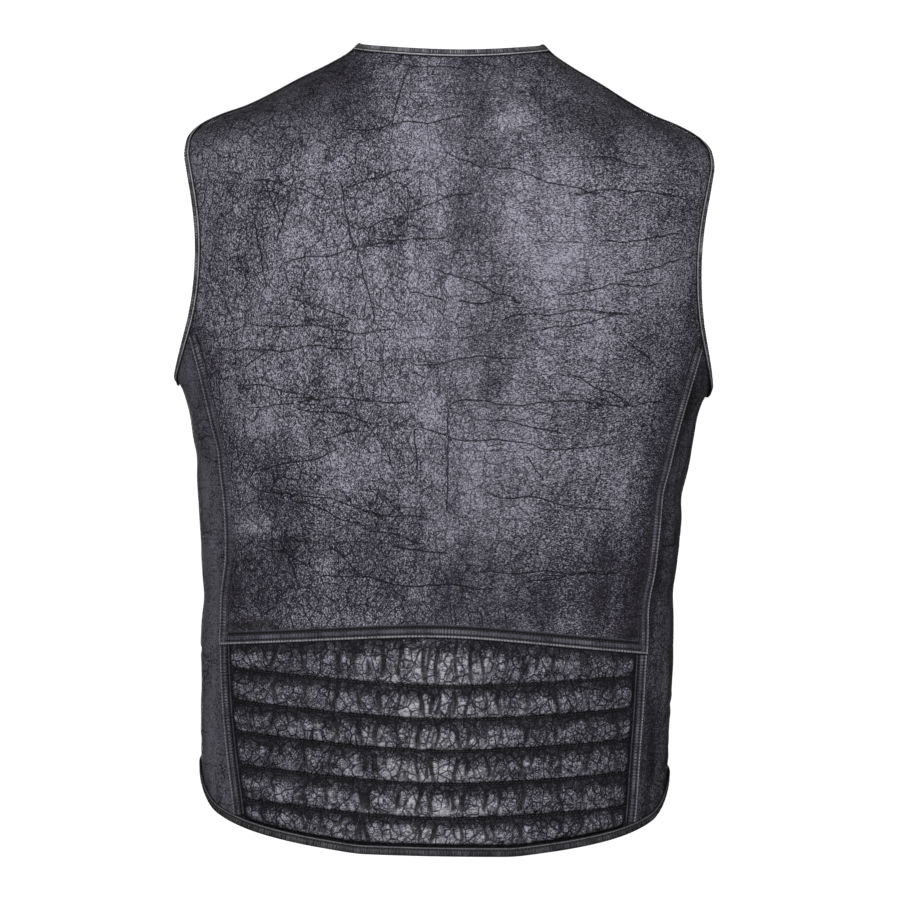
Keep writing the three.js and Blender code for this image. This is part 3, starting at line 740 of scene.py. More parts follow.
class Look:
    """A material with the nodes that make it."""

    def __init__(self, name, **shader):
        self.material = bpy.data.materials.new(name)
        self.material.use_nodes = True
        self.tree = self.material.node_tree
        self.shader = self.tree.nodes["Principled BSDF"]
        self.set(shader)
        self.place = self.node("ShaderNodeTexCoord", {}, {}, "Object")

    def feed(self, socket, value):
        if isinstance(value, Value):
            self.tree.links.new(value.socket, socket)
        else:
            socket.default_value = value

    def set(self, values):
        for name, value in values.items():
            self.feed(self.shader.inputs[name.replace("_", " ").title().replace("Ior", "IOR")], value)

    def node(self, kind, settings, inputs, output=0):
        made = self.tree.nodes.new(kind)
        for name, setting in settings.items():
            setattr(made, name, setting)
        for name, value in inputs.items():
            socket = next(s for s in made.inputs if name in (s.identifier, s.name))
            self.feed(socket, value)
        return Value(self, made.outputs[output])

    def math(self, operation, *values):
        inputs = dict(zip(("Value", "Value_001", "Value_002"), values))
        return self.node("ShaderNodeMath", {"operation": operation}, inputs)

    def vector(self, operation, first, second):
        inputs = {"Vector": first, "Vector_001": second}
        return self.node("ShaderNodeVectorMath", {"operation": operation}, inputs)

    def colour(self, low, high, share):
        inputs = {"Factor_Float": share, "A_Color": low, "B_Color": high}
        return self.node("ShaderNodeMix", {"data_type": "RGBA"}, inputs, "Result")

    def axis(self, name):
        return self.node("ShaderNodeSeparateXYZ", {}, {"Vector": self.place}, name)

    def mark(self, name):
        return self.node("ShaderNodeAttribute", {"attribute_name": name}, {}, "Fac")

    def spread(self, size, stretch=(1, 1, 1), shift=0.0):
        """The place, measured in pieces of a size in millimetres, drawn out along some axes."""
        scale = [1 / (MM * size * s) for s in stretch]
        scaled = self.vector("MULTIPLY", self.place, scale)
        return self.vector("ADD", scaled, (shift, shift * 1.7, shift * 0.6))

    def noise(self, size, stretch=(1, 1, 1), detail=2.0, roughness=0.5, shift=0.0, bend=0.0):
        inputs = {"Vector": self.spread(size, stretch, shift), "Scale": 1.0, "Detail": detail}
        inputs |= {"Roughness": roughness, "Distortion": bend}
        return self.node("ShaderNodeTexNoise", {}, inputs)

    def borders(self, size, stretch, shift):
        """Distance from the wandering borders of irregular cells."""
        inputs = {"Vector": self.spread(size * SWAY_SIZE, stretch, shift + 3), "Scale": 1.0, "Detail": 3.0}
        sway = self.node("ShaderNodeTexNoise", {}, inputs, "Color")
        bend = self.vector("MULTIPLY", self.vector("SUBTRACT", sway, (0.5, 0.5, 0.5)), (SWAY, SWAY, SWAY))
        inputs = {"Vector": self.vector("ADD", self.spread(size, stretch, shift), bend), "Scale": 1.0}
        return self.node("ShaderNodeTexVoronoi", {"feature": "DISTANCE_TO_EDGE"}, inputs, "Distance")

    def bars(self, place):
        """Distance from the borders of uneven bars along a line of numbers."""
        settings = {"voronoi_dimensions": "1D", "feature": "DISTANCE_TO_EDGE"}
        return self.node("ShaderNodeTexVoronoi", settings, {"W": place, "Scale": 1.0}, "Distance")

    def relief(self, height, depth, strength=1.0, under=None):
        """Tilts the surface by a height from 0 to 1 that stands for `depth` millimetres."""
        inputs = {"Height": height, "Distance": depth * MM, "Strength": strength}
        if under is not None:
            inputs["Normal"] = under
        return self.node("ShaderNodeBump", {}, inputs)


def ink(red, green, blue):
    """A colour given as seen on a screen, 0 to 255."""
    seen = np.array([red, green, blue]) / 255
    linear = np.where(seen < 0.04045, seen / 12.92, ((seen + 0.055) / 1.055) ** 2.4)
    return (*map(float, linear), 1.0)


DARK_LEATHER = ink(34, 32, 38)
LEATHER = ink(88, 85, 97)
WORN_LEATHER = ink(168, 165, 180)
RIB_DARK = ink(26, 25, 29)
RIB_LEATHER = ink(66, 64, 72)
SILVER_WORN = ink(204, 202, 206)
# Burnished leather, also laid on as painted shade
BURNISHED_AND_SHADED = ink(40, 39, 41)
# The fronts and sides are toned darker than the back: partly darker leather and partly painted shade where
# the sides turn away from the light
SIDE_DARK = ink(26, 25, 29)
SIDE_LEATHER = ink(66, 65, 72)
SIDE_WORN = ink(118, 115, 126)
BLACK_LINE = ink(11, 10, 13)


def pebble(look, stretch=(1, 1, 1)):
    """Fine wrinkled grain: 0 in its valleys and 1 on its tops."""
    winding = look.noise(2.7, stretch, detail=2.0, roughness=0.62, shift=8, bend=0.5)
    valley = abs(winding - 0.5).rise(0.0, 0.075)
    dust = look.noise(1.15, stretch, detail=2.0, roughness=0.75, shift=4, bend=0.3)
    return (valley * 0.36 + dust * 2.2 - 0.82).rise(0.0, 1.0)


def crackle(look, size, width, stretch, shift):
    """A net of thin wandering cracks of a width in millimetres: 1 in a crack."""
    return 1 - look.borders(size, stretch, shift).rise(width / size * 0.15, width / size)


def crease_lines(look, width):
    """The lines of the narrow creases, painted dark as their shade, which wander a little: 1 in a line."""
    far = look.noise(17, detail=2.0, shift=15)
    near = look.noise(4, detail=1.0, shift=16)
    gap = abs(look.mark("line_gap") + ((far - 0.5) * 5 + (near - 0.5) * 0.8))
    return (1 - gap.rise(width * 0.2, width)) * look.mark("line").rise(0.05, 0.5)


def level_lines(look, spacing, width, sway, shift):
    """Thin lines that run round the body and wander up and down."""
    far = look.noise(85, (1.5, 1.5, 1), detail=1.0, shift=shift)
    near = look.noise(19, (1.3, 1.3, 1), detail=2.0, shift=shift + 2)
    line = look.axis("Z") * (1 / (MM * spacing)) + (far - 0.5) * sway + (near - 0.5) * 0.35
    return 1 - look.bars(line).rise(width / spacing * 0.2, width / spacing)


def most(look, *values):
    """The largest of several values."""
    largest = values[0]
    for value in values[1:]:
        largest = look.math("MAXIMUM", largest, value)
    return largest


def three_tones(look, dark, middle, light, value):
    """Dark at 0, middle at a half and light at 1."""
    low = look.colour(dark, middle, look.math("MINIMUM", value * 2, 1.0))
    return look.colour(low, light, look.math("MAXIMUM", value * 2 - 1, 0.0))


def back_leather():
    look = Look("distressed back leather", metallic=0.0)
    across = look.axis("X")
    height = look.axis("Z")
    left = across.rise(-0.12, 0.08)
    patch = look.noise(58, (1, 1, 1.4), detail=1.5, shift=1)
    streak = look.noise(11, (1, 1, 4.5), detail=1.0, shift=2)
    upright = pebble(look, (0.9, 0.9, 1.15))
    level = pebble(look, (1.5, 1.5, 0.72))
    grain = look.math("MULTIPLY_ADD", upright - level, left, level)
    large = crackle(look, 13, 0.7, (0.85, 0.85, 1.35), 7)
    large = large * look.noise(30, detail=2.0, shift=9).rise(0.36, 0.5)
    small = crackle(look, 6.5, 0.55, (0.9, 0.9, 1.2), 17)
    small = small * look.noise(22, detail=2.0, shift=19).rise(0.42, 0.58)
    lines = level_lines(look, 17, 0.7, 2.6, 11) * look.noise(30, (2, 2, 0.7), shift=12).rise(0.46, 0.58)
    net = most(look, large * 0.8, small * 0.55) * (left * 0.35 + 0.65)
    dark_lines = most(look, net, lines * 0.6, crease_lines(look, 0.95) * 0.95)
    rim = look.mark("rim")
    # Darker toward the sides, partly painted shade where the back turns away from the light, and darker
    # toward the bottom, most on the wearer's right
    low = (0 - height).rise(0.33, 0.49)
    outer = abs(across).rise(0.08, 0.22) * 0.16 + low * 0.26 + low * (0 - across).rise(0.0, 0.16) * 0.2
    # Painted shade: darker toward the top, where the shoulders face up into the light
    high = height.rise(-0.12, -0.03) * 0.2
    # The tone's level: rubbed and dyed places, patches, streaks and grain, less the darkening above, which
    # is partly painted shade
    worn = 0.52 + look.mark("worn") * 0.42 + (patch - 0.5) + (streak - 0.5) * 0.45
    worn = worn - outer - high + (grain**1.3 - 0.42) * 1.25
    tone = three_tones(look, DARK_LEATHER, LEATHER, WORN_LEATHER, worn)
    # Burnished leather and painted shade beside the seams, and painted shade on the shoulders
    tone = look.colour(tone, BURNISHED_AND_SHADED, rim * 0.85)
    # Black lines: cracks and thin lines in the leather, and painted shade along the narrow creases
    tone = look.colour(tone, BLACK_LINE, dark_lines * 0.9)
    soft = look.relief(grain, 0.35, 0.9)
    bump = look.relief(1 - dark_lines, 0.7, 0.8, soft)
    look.set({"base_color": tone, "roughness": 0.56 + dark_lines * 0.3 - rim * 0.08, "normal": bump})
    look.set({"specular_ior_level": 0.14})
    return look.material


def rib_leather():
    look = Look("ribbed back leather", metallic=0.0)
    crown = look.mark("crown")
    crack = look.mark("crack")
    middle = look.mark("middle")
    rim = look.mark("rim")
    grain = pebble(look)
    patch = look.noise(15, (1, 1, 0.8), detail=4.0, roughness=0.65, shift=21)
    streak = look.noise(6, (1, 1, 3.4), detail=3.0, roughness=0.6, shift=22)
    scratch = look.noise(2.2, (2.5, 2.5, 0.8), detail=3.0, roughness=0.7, shift=26)
    large = crackle(look, 9, 0.95, (0.9, 0.9, 1.15), 23) * look.noise(24, shift=24).rise(0.24, 0.4)
    small = crackle(look, 5, 0.65, (1.1, 1.1, 0.9), 27) * look.noise(18, shift=28).rise(0.38, 0.52)
    dark_lines = most(look, large * 0.95, small * 0.7, crack)
    # Painted light and shade over each rib: darker at its top, under the rib above, and lighter lower down;
    # patches, streaks, the middle of the back and grain vary it too
    worn = crown * 0.5 + (patch - 0.5) * 0.9 + (streak - 0.5) * 0.7 + middle * 0.14 + (grain - 0.5) * 0.9
    tone = three_tones(look, RIB_DARK, RIB_LEATHER, WORN_LEATHER, worn + 0.07)
    silver = (crown * 0.5 + (patch - 0.5) * 1.4 + (streak - 0.5) + middle * 0.42 - 0.55).rise(0.0, 0.55)
    tone = look.colour(tone, SILVER_WORN, silver * scratch.rise(0.40, 0.62) * 0.8)
    # Painted shade in the valleys beside the side strips, and darker toward the sides
    tone = look.colour(tone, RIB_DARK, rim * 0.7)
    tone = look.colour(tone, BLACK_LINE, dark_lines * 0.92)
    # Painted shade: black in the channel grooves
    tone = look.colour(tone, BLACK_LINE, look.mark("groove") * 0.95)
    soft = look.relief(grain * 0.7 + scratch * 0.3, 0.35, 0.9)
    bump = look.relief(1 - dark_lines, 0.8, 0.8, soft)
    look.set({"base_color": tone, "roughness": 0.5 + dark_lines * 0.35, "normal": bump})
    look.set({"specular_ior_level": 0.16})
    return look.material


def side_leather():
    look = Look("side leather", metallic=0.0)
    across = look.axis("X")
    grain = pebble(look)
    patch = look.noise(20, (1, 1, 3), detail=3.0, roughness=0.6, shift=31)
    cracks = crackle(look, 13, 0.7, (1.3, 1.3, 0.8), 33) * look.noise(50, shift=34).rise(0.44, 0.6)
    lines = level_lines(look, 26, 0.8, 3.0, 36) * look.noise(30, (2, 2, 0.8), shift=37).rise(0.44, 0.6)
    dark_lines = most(look, cracks * 0.6, lines * 0.6, crease_lines(look, 1.1) * 0.8)
    rim = look.mark("rim")
    # Lighter on the wearer's left: painted light on that side, varied by patches and grain
    worn = 0.24 + across.rise(-0.1, 0.1) * 0.5 + (patch - 0.5) * 2.3 + (grain - 0.5) * 1.5
    tone = three_tones(look, SIDE_DARK, SIDE_LEATHER, SIDE_WORN, worn)
    tone = look.colour(tone, SIDE_DARK, rim * 0.6)
    # Black lines: cracks and thin lines in the leather, and painted shade along the narrow creases
    tone = look.colour(tone, BLACK_LINE, dark_lines * 0.8)
    soft = look.relief(grain, 0.3, 0.85)
    bump = look.relief(1 - dark_lines, 0.6, 0.7, soft)
    look.set({"base_color": tone, "roughness": 0.52 + dark_lines * 0.25, "normal": bump})
    look.set({"specular_ior_level": 0.18})
    return look.material


def edge_leather(name, body, worn, tick_pitch):
    """Leather of the turned edges and bindings, rubbed light along its lips, with painted shade in its
    grooves and in the valleys of its gathers.
    """
    look = Look(name, metallic=0.0)
    grain = pebble(look)
    patch = look.noise(15, detail=4.0, roughness=0.6, shift=41)
    lip = look.mark("lip")
    groove = look.mark("groove")
    puff = look.mark("puff")
    spot = look.mark("along") * (1 / tick_pitch) + look.noise(3, detail=1.0, shift=43) * 1.2
    tick = (1 - look.bars(spot).rise(0.06, 0.36)) * look.noise(6, detail=2.0, shift=44).rise(0.28, 0.5)
    tone = look.colour(SIDE_DARK, body, (grain * 0.5 + patch * 0.8 + puff * 0.25).rise(0.2, 1.0))
    tone = look.colour(tone, worn, puff * patch.rise(0.36, 0.66) * 0.45)
    # Painted shade: dark ticks in the valleys of the gathers
    tone = look.colour(tone, BLACK_LINE, tick * look.mark("gathered") * 0.85)
    tone = look.colour(tone, worn, lip * (patch * 0.6 + 0.4 * grain).rise(0.1, 0.6))
    # Painted shade: black in the grooves
    tone = look.colour(tone, BLACK_LINE, groove * 0.97)
    bump = look.relief(grain, 0.2, 0.7)
    look.set({"base_color": tone, "roughness": 0.52 - lip * 0.1 + groove * 0.3, "normal": bump})
    look.set({"specular_ior_level": 0.16})
    return look.material


def backing_cloth():
    look = Look("backing cloth", metallic=0.0)
    inputs = {"Vector": look.place, "Scale": 320.0, "Distortion": 1.5}
    warp, weft = (look.node("ShaderNodeTexWave", {"bands_direction": axis}, inputs) for axis in "XZ")
    weave = warp * 0.5 + weft * 0.5
    uneven = look.noise(30, detail=3.0, shift=51)
    tone = look.colour(ink(22, 21, 22), ink(48, 46, 48), weave * 0.6 + uneven * 0.4)
    look.set({"base_color": tone, "roughness": 0.85, "normal": look.relief(weave, 0.12, 0.6)})
    look.set({"sheen_weight": 0.2, "sheen_roughness": 0.6})
    return look.material


def thread():
    look = Look("thread", metallic=0.0)
    twist = look.noise(0.5, (1, 1, 2.0), detail=1.0, shift=61)
    tone = look.colour(ink(26, 26, 28), ink(74, 73, 78), twist)
    look.set({"base_color": tone, "roughness": 0.7, "normal": look.relief(twist, 0.08, 0.6)})
    return look.material


def stud_metal():
    look = Look("dark plated metal", metallic=1.0)
    rub = look.noise(2.2, detail=4.0, roughness=0.6, shift=71)
    tone = look.colour(ink(92, 92, 96), ink(160, 160, 166), rub.rise(0.35, 0.7))
    look.set({"base_color": tone, "roughness": 0.3 + rub * 0.25, "normal": look.relief(rub, 0.03, 0.5)})
    return look.material


BACK = back_leather()
RIBS = rib_leather()
SIDES = side_leather()
SIDE_EDGE = edge_leather("turned side edge", ink(88, 86, 98), ink(190, 188, 198), 2.2)
LOWER_EDGE = edge_leather("turned lower edge", ink(84, 82, 94), ink(204, 202, 208), 1.8)
BINDING = edge_leather("leather binding", ink(98, 97, 104), ink(206, 205, 210), 1.5)
HEM_BINDING = edge_leather("hem binding leather", ink(62, 61, 66), ink(120, 119, 124), 1.9)
BACKING = backing_cloth()
THREAD = thread()
STUD_METAL = stud_metal()

# How finely the meshes are divided, in millimetres or in rows and columns
STRIP_SPACING = 0.65
SHOULDER_CROWDING = 1.2
SIDE_CROWDING = 0.12
RIB_SIDE_CROWDING = 0.2
VALLEY_CROWDING = 0.45
BACK_COLUMNS = 240
BACK_ROWS = (40, 62, 100)  # above the armhole, beside it, and down to the lower seam
RIB_ROWS = 24  # across each rib
RIB_COLUMNS = 300
FRONT_COLUMNS = 56
UNDERARM_COLUMNS = 44
FRONT_ROWS = (100, 36)  # beside the side seam, and below the back panel's corner
UPPER_ROWS = (30, 56)


def leather_wall(name, node, outer, inner, faces, leather):
    """A panel: leather outside, backing cloth inside and over the rim between them."""
    outer, inner = outer.reshape(-1, 3), inner.reshape(-1, 3)
    outside, inside, rim = wall_faces(faces.tolist(), len(outer))
    piece = new_piece(name, np.concatenate([outer, inner]), outside + inside + rim, [leather, BACKING])
    slots = np.zeros(len(piece.data.polygons), np.int32)
    slots[len(outside) :] = 1
    piece.data.polygons.foreach_set("material_index", slots)
    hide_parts(node)
    return piece


def upper_heights(rows, turns):
    """Heights from the neck to the top of the armhole, and down beside it."""
    shoulder = mix(NECK_TOP, ARMHOLE_TOP_Z, np.linspace(0, 1, rows + 1) ** SHOULDER_CROWDING)
    return [shoulder, ARMHOLE_MIDDLE + ARMHOLE_HALF * np.cos(turns)]


def back_panel():
    u = np.linspace(-1, 1, BACK_COLUMNS + 1)
    u = u * (1 + SIDE_CROWDING - SIDE_CROWDING * np.abs(u))
    above, beside, below = BACK_ROWS
    end = LOWER_SEAM_Z - LOWER_SEAM_SIDE_DROP
    turns = np.linspace(0, float(armhole_turn_at(SEAM_MEETS_ARMHOLE_Z)), beside + 1)[1:]
    rows = [*upper_heights(above, turns), np.linspace(SEAM_MEETS_ARMHOLE_Z, end, below + 1)[1:]]
    heights = np.concatenate(rows)[:, None]
    neck_share = 1 - ease((NECK_TOP - heights) / NECK_DIP_FADE)
    seam_share = 1 - ease((heights - LOWER_SEAM_Z) / LOWER_SEAM_FADE)
    z = heights - NECK_BACK_DIP * (1 - u * u) * neck_share + LOWER_SEAM_SIDE_DROP * (1 - u * u) * seam_share
    edge = back_edge_angle(z)
    angle = u * edge
    plain = body_point(angle, z)
    from_side = (1 - np.abs(u)) * np.abs(body_point(edge, z)[..., 0])
    beside_seam = z < SEAM_MEETS_ARMHOLE_Z - SEAM_RAISE_START
    side_raise = np.where(beside_seam, 1 - ease(from_side / SEAM_RAISE_WIDTH), 0)
    from_low = z - lower_seam_height(u)
    raised = SEAM_RAISE * np.maximum(side_raise, 1 - ease(from_low / SEAM_RAISE_WIDTH))
    creases = crease_relief(plain, BACK_CREASES, lambda c: float(angle_at_width(c["across"], c["z"])))
    pressed, line_gap, line = creases
    from_seams = np.minimum(from_side, from_low) - EDGE_WIDTH
    inland = ease(np.minimum(from_seams, NECK_TOP - heights + NECK_FLAT) / FLAT_FADE)
    uneven = unevenness(plain, BACK_LUMPS) * inland
    outer = leather_point(angle, z, raised - pressed * inland + uneven)
    inner = leather_point(angle, z, -WALL)

    from_centre = np.abs(plain[..., 0])
    # The rim mark: burnished leather and painted shade beside the seams and over the ends of the lower seam,
    # and painted shade on the shoulders
    low_rim = np.exp(-(((from_low - LOW_RIM["height"]) / LOW_RIM["half_height"]) ** 2))
    low_rim = low_rim * ease((from_centre - LOW_RIM["from_centre"]) / LOW_RIM["fade"])
    beside_hole = np.where(z > SEAM_MEETS_ARMHOLE_Z, ARMHOLE_RIM, 1)
    side_rim = np.exp(-from_side / RIM_FADE) * beside_hole
    shoulder = ease((from_centre - SHOULDER_SHADE["from_centre"]) / SHOULDER_SHADE["fade"])
    shoulder = shoulder * ease((plain[..., 2] - SHOULDER_SHADE["bottom_z"]) / SHOULDER_SHADE["rise"])
    rim = np.maximum(np.maximum(side_rim, low_rim), shoulder * SHOULDER_SHADE["strength"])
    faces = grid_quads(np.arange(z.size).reshape(z.shape))
    piece = leather_wall("back_leather", "back_panel", outer, inner, faces, BACK)
    give(piece, line_gap=line_gap, line=line * inland, rim=np.clip(rim, 0, 1), worn=rubbed_places(plain))
    return piece, {"neck": (angle[0], z[0]), "rows": (angle, z)}


# The ribs: how they sag at their tops, where they are painted dark as shade in their grooves and side
# valleys, where darker toward the sides, and where rubbed silver
RIB_SAG = {"share": 0.32, "depth": 0.16}
TOP_RIB_DEPTH = 44
RIB_DEPTH = 27
GROOVE_WIDTH = 1.6
GROOVE_END = 6
SIDE_VALLEY = 2
HEM_ROWS = (0.35, 0.7, 1.0)  # below the last rib, as shares of the way to the hem
SILVER_MIDDLE = {"across": 10, "reach": 62}
DARK_SIDES = {"from_centre": 80, "fade": 90, "strength": 0.3}


def rib_lines(u):
    lines = [lower_seam_height(u) - SEAM_GAP]
    lines += [z + CHANNEL_SIDE_RISE * u * u for z in CHANNELS_Z]
    lines.append(back_hem_height(u) + BINDING_LEG + RIB_TO_BINDING)
    return lines


def crack_depth(x, rib, share, z):
    """Cracks across the ribs, deepest over the crowns: listed ones and scattered short ones."""
    deep = np.zeros(x.shape)
    chance = np.random.default_rng(17)
    middle_z = (LOWER_SEAM_Z + CHANNELS_Z[-1]) / 2
    length = LOWER_SEAM_Z - CHANNELS_Z[-1]
    for crack in RIB_CRACKS:
        for number in range(len(CHANNELS_Z) + 1):
            jog = chance.uniform(-2.5, 2.5)
            size = chance.uniform(0.55, 1.15)
            start = chance.uniform(-0.1, 0.25)
            stop = chance.uniform(0.8, 1.1)
            wave = chance.uniform(0, math.tau)
            at = crack["across"] + crack["lean"] * (middle_z - z) / length + jog
            at = at + np.sin(share * 5 + wave) * CRACK_WAVE
            there = (rib == number) * ease((share - start) / 0.12) * ease((stop - share) / 0.12)
            deep += crack["depth"] * size * there * np.exp(-(((x - at) / crack["half_width"]) ** 2))
    for _ in range(SMALL_RIB_CRACKS):
        number = chance.integers(0, len(CHANNELS_Z) + 1)
        at = chance.normal(0, SMALL_CRACK_SPREAD)
        start = chance.uniform(-0.1, 0.6)
        stop = start + chance.uniform(0.2, 0.6)
        lean = chance.uniform(-9, 9)
        size = chance.uniform(0.35, 1.0)
        width = chance.uniform(0.9, 1.7)
        near = (rib == number) & (np.abs(x - at) < 14)
        if not near.any():
            continue
        line = at + (share[near] - start) * lean + np.sin(share[near] * 9 + at) * SMALL_CRACK_WAVE
        there = ease((share[near] - start) / 0.1) * ease((stop - share[near]) / 0.1)
        deep[near] += size * there * np.exp(-(((x[near] - line) / width) ** 2))
    return deep


def lower_back():
    u = np.linspace(-1, 1, RIB_COLUMNS + 1)
    u = u * (1 - RIB_SIDE_CROWDING + RIB_SIDE_CROWDING * u * u)
    lines = rib_lines(u)
    shares = np.linspace(0, 1, RIB_ROWS + 1)[:-1]
    ribs, across_rib, heights = [], [], []
    for number in range(len(lines) - 1):
        spacing = 0.5 - 0.5 * np.cos(math.pi * shares)
        for share in mix(shares, spacing, VALLEY_CROWDING):
            ribs.append(number)
            across_rib.append(share)
            heights.append(mix(lines[number], lines[number + 1], share))
    ribs.append(len(lines) - 2)
    across_rib.append(1.0)
    heights.append(lines[-1])
    hem = back_hem_height(u)
    for share in HEM_ROWS:
        ribs.append(len(lines) - 1)
        across_rib.append(0.0)
        heights.append(mix(lines[-1], hem, share))
    z = np.array(heights)
    rib = np.array(ribs)[:, None] + 0 * z
    share = np.array(across_rib)[:, None] + 0 * z
    edge = back_edge_angle(z)
    angle = u * edge
    plain = body_point(angle, z)
    x = plain[..., 0]
    from_side = (1 - np.abs(u)) * np.abs(body_point(edge, z)[..., 0])
    fade = ease((from_side - RIB_EDGE_STRIP) / RIB_EDGE_FADE)
    crown = np.sin(math.pi * share)
    sag = 1 - RIB_SAG["depth"] * ease((RIB_SAG["share"] - share) / RIB_SAG["share"])
    cracks = crack_depth(x, rib, share, z)
    uneven = unevenness(plain, RIB_LUMPS)
    height = RIB_HEIGHT * fade * crown**RIB_FULLNESS * sag + (uneven - cracks) * np.sqrt(crown) * fade
    outer = leather_point(angle, z, height)
    inner = leather_point(angle, z, -WALL)
    faces = grid_quads(np.arange(z.size).reshape(z.shape))
    piece = leather_wall("ribbed_leather", "lower_back_panel", outer, inner, faces, RIBS)
    # Painted shade: black in the channel grooves and dark in the valleys where the ribs end beside the side
    # strips; darker toward the sides as well
    from_line = np.minimum(share, 1 - share) * np.where(rib == 0, TOP_RIB_DEPTH, RIB_DEPTH)
    groove = np.exp(-((from_line / GROOVE_WIDTH) ** 2)) * ease((from_side - GROOVE_END) / GROOVE_END)
    valley = np.exp(-(((from_side - RIB_EDGE_STRIP) / SIDE_VALLEY) ** 2))
    dark_side = ease((np.abs(x) - DARK_SIDES["from_centre"]) / DARK_SIDES["fade"])
    # The crown mark paints each rib darker at its top, as shade under the rib above, and lighter lower down
    give(
        piece,
        crown=ease((share - 0.1) / 0.42) * ease((1 - share) / 0.1) * fade,
        crack=np.clip(cracks * 1.05, 0, 1) * crown**0.25 * fade,
        middle=np.exp(-(((x - SILVER_MIDDLE["across"]) / SILVER_MIDDLE["reach"]) ** 2)),
        groove=np.clip(groove, 0, 1),
        rim=np.clip(valley + DARK_SIDES["strength"] * dark_side, 0, 1),
    )
    return piece, {"hem": (angle[-1], z[-1])}


def front_panel(side):
    def edge(z):
        angle = seam_angle(z)
        return angle + turn_for(SEAM_GAP / 2, angle, z)

    corner_turn = float(armhole_turn_at(ARMHOLE_FRONT_CORNER_Z))
    join_turn = float(armhole_turn_at(SEAM_MEETS_ARMHOLE_Z))
    turns = np.linspace(join_turn, math.tau - corner_turn, UNDERARM_COLUMNS + 1)
    top_angle, top_z = armhole_station(turns)
    top_angle[0] = edge(SEAM_MEETS_ARMHOLE_Z)
    t = np.linspace(0, 1, FRONT_COLUMNS + 1)
    level = mix(top_angle[-1], float(centre_front_angle(top_z[-1])), t[1:])
    start_angle = np.concatenate([top_angle, level])
    start_z = np.concatenate([top_z, np.full(FRONT_COLUMNS, top_z[-1])])

    hem_end = float(hem_height(edge(HEM_SEAM_Z)))
    seam_end = LOWER_SEAM_Z - LOWER_SEAM_SIDE_DROP
    beside, skirt = FRONT_ROWS
    upper_rows_z = np.linspace(SEAM_MEETS_ARMHOLE_Z, seam_end, beside + 1)
    rows_z = np.concatenate([upper_rows_z, np.linspace(seam_end, hem_end, skirt + 1)[1:]])
    down = ((rows_z - SEAM_MEETS_ARMHOLE_Z) / (hem_end - SEAM_MEETS_ARMHOLE_Z))[:, None]
    first = edge(start_z)
    share = (start_angle - first) / (centre_front_angle(start_z) - first)
    hem = hem_height(mix(edge(HEM_SEAM_Z), centre_front_angle(HEM_SEAM_Z), share))
    lower_z = mix(start_z, hem, down)
    low = np.minimum(lower_z, SEAM_MEETS_ARMHOLE_Z)
    lower_angle = mix(edge(low), centre_front_angle(lower_z), share)
    lower_angle[0] = start_angle

    above, arm = UPPER_ROWS
    arm_turns = np.linspace(0, corner_turn, arm + 1)[1:]
    heights = np.concatenate(upper_heights(above, arm_turns))[:-1, None]
    rise = (heights - top_z[-1]) / (NECK_TOP - top_z[-1])
    upper_z = mix(top_z[-1], neck_front_height(t), rise)
    seam = TURN + turn_for(SEAM_GAP / 2, TURN, upper_z)
    first = np.where(heights >= ARMHOLE_TOP_Z, seam, armhole_angle(heights, -1))
    upper_angle = mix(first, centre_front_angle(upper_z), t)

    angle = side * np.concatenate([lower_angle.reshape(-1), upper_angle.reshape(-1)])
    z = np.concatenate([lower_z.reshape(-1), upper_z.reshape(-1)])
    shift = layer_offset(angle, z)
    plain = body_point(angle, z)
    pressed, line_gap, line = crease_relief(plain, FRONT_CREASES, lambda c: math.radians(c["degrees"]))

    lower_rows, lower_columns = lower_angle.shape
    upper_rows, upper_columns = upper_angle.shape
    numbers = np.arange(len(angle))
    lower_grid = numbers[: lower_rows * lower_columns].reshape(lower_rows, lower_columns)
    upper_grid = numbers[lower_rows * lower_columns :].reshape(upper_rows, upper_columns)
    upper_grid = np.vstack([upper_grid, lower_grid[0, UNDERARM_COLUMNS:]])
    border = [lower_grid[0, : UNDERARM_COLUMNS + 1], lower_grid[-1], upper_grid[0], upper_grid[:, 0]]
    border += [lower_grid[:, 0], lower_grid[:, -1], upper_grid[:, -1]]
    border_points = plain[np.unique(np.concatenate(border))]
    inland = np.full(len(plain), 1e9)
    for start in range(0, len(border_points), 60):
        apart = np.linalg.norm(plain[:, None] - border_points[None, start : start + 60], axis=2)
        inland = np.minimum(inland, apart.min(axis=1))
    calm = ease(inland / FRONT_CALM)
    uneven = unevenness(plain, FRONT_LUMPS) * calm
    outer = leather_point(angle, z, shift - pressed * calm + uneven)
    inner = leather_point(angle, z, shift - WALL)

    faces = np.concatenate([grid_quads(grid) for grid in (lower_grid, upper_grid)])
    if side < 0:
        faces = faces[:, ::-1]
    name = "left" if side > 0 else "right"
    piece = leather_wall(
        f"front_leather_{name}", f"front_{name}", outer, inner, faces, SIDES
    )
    give(piece, line_gap=line_gap, line=line * calm, rim=np.exp(-inland / FRONT_RIM_FADE))
    # The rows above the armhole are in here too, so its band runs on along the shoulder seam and back.
    arm_numbers = np.concatenate([lower_grid[0, :UNDERARM_COLUMNS], upper_grid[::-1, 0]])
    edges = {
        "neck": (angle[upper_grid[0]], z[upper_grid[0]]),
        "hem": (angle[lower_grid[-1]], z[lower_grid[-1]]),
        "armhole": (angle[arm_numbers], z[arm_numbers]),
    }
    return piece, edges


def even_path(angle, z, spacing, closed=False):
    """Spots of an edge, spaced evenly along it."""
    if closed:
        angle, z = np.append(angle, angle[0]), np.append(z, z[0])
    points = body_point(angle, z)
    gone = np.concatenate([[0], np.cumsum(np.linalg.norm(np.diff(points, axis=0), axis=1))])
    count = max(8, int(round(gone[-1] / spacing)))
    at = np.linspace(0, gone[-1], count + 1)
    if closed:
        at = at[:-1]
    return np.interp(at, gone, angle), np.interp(at, gone, z), at


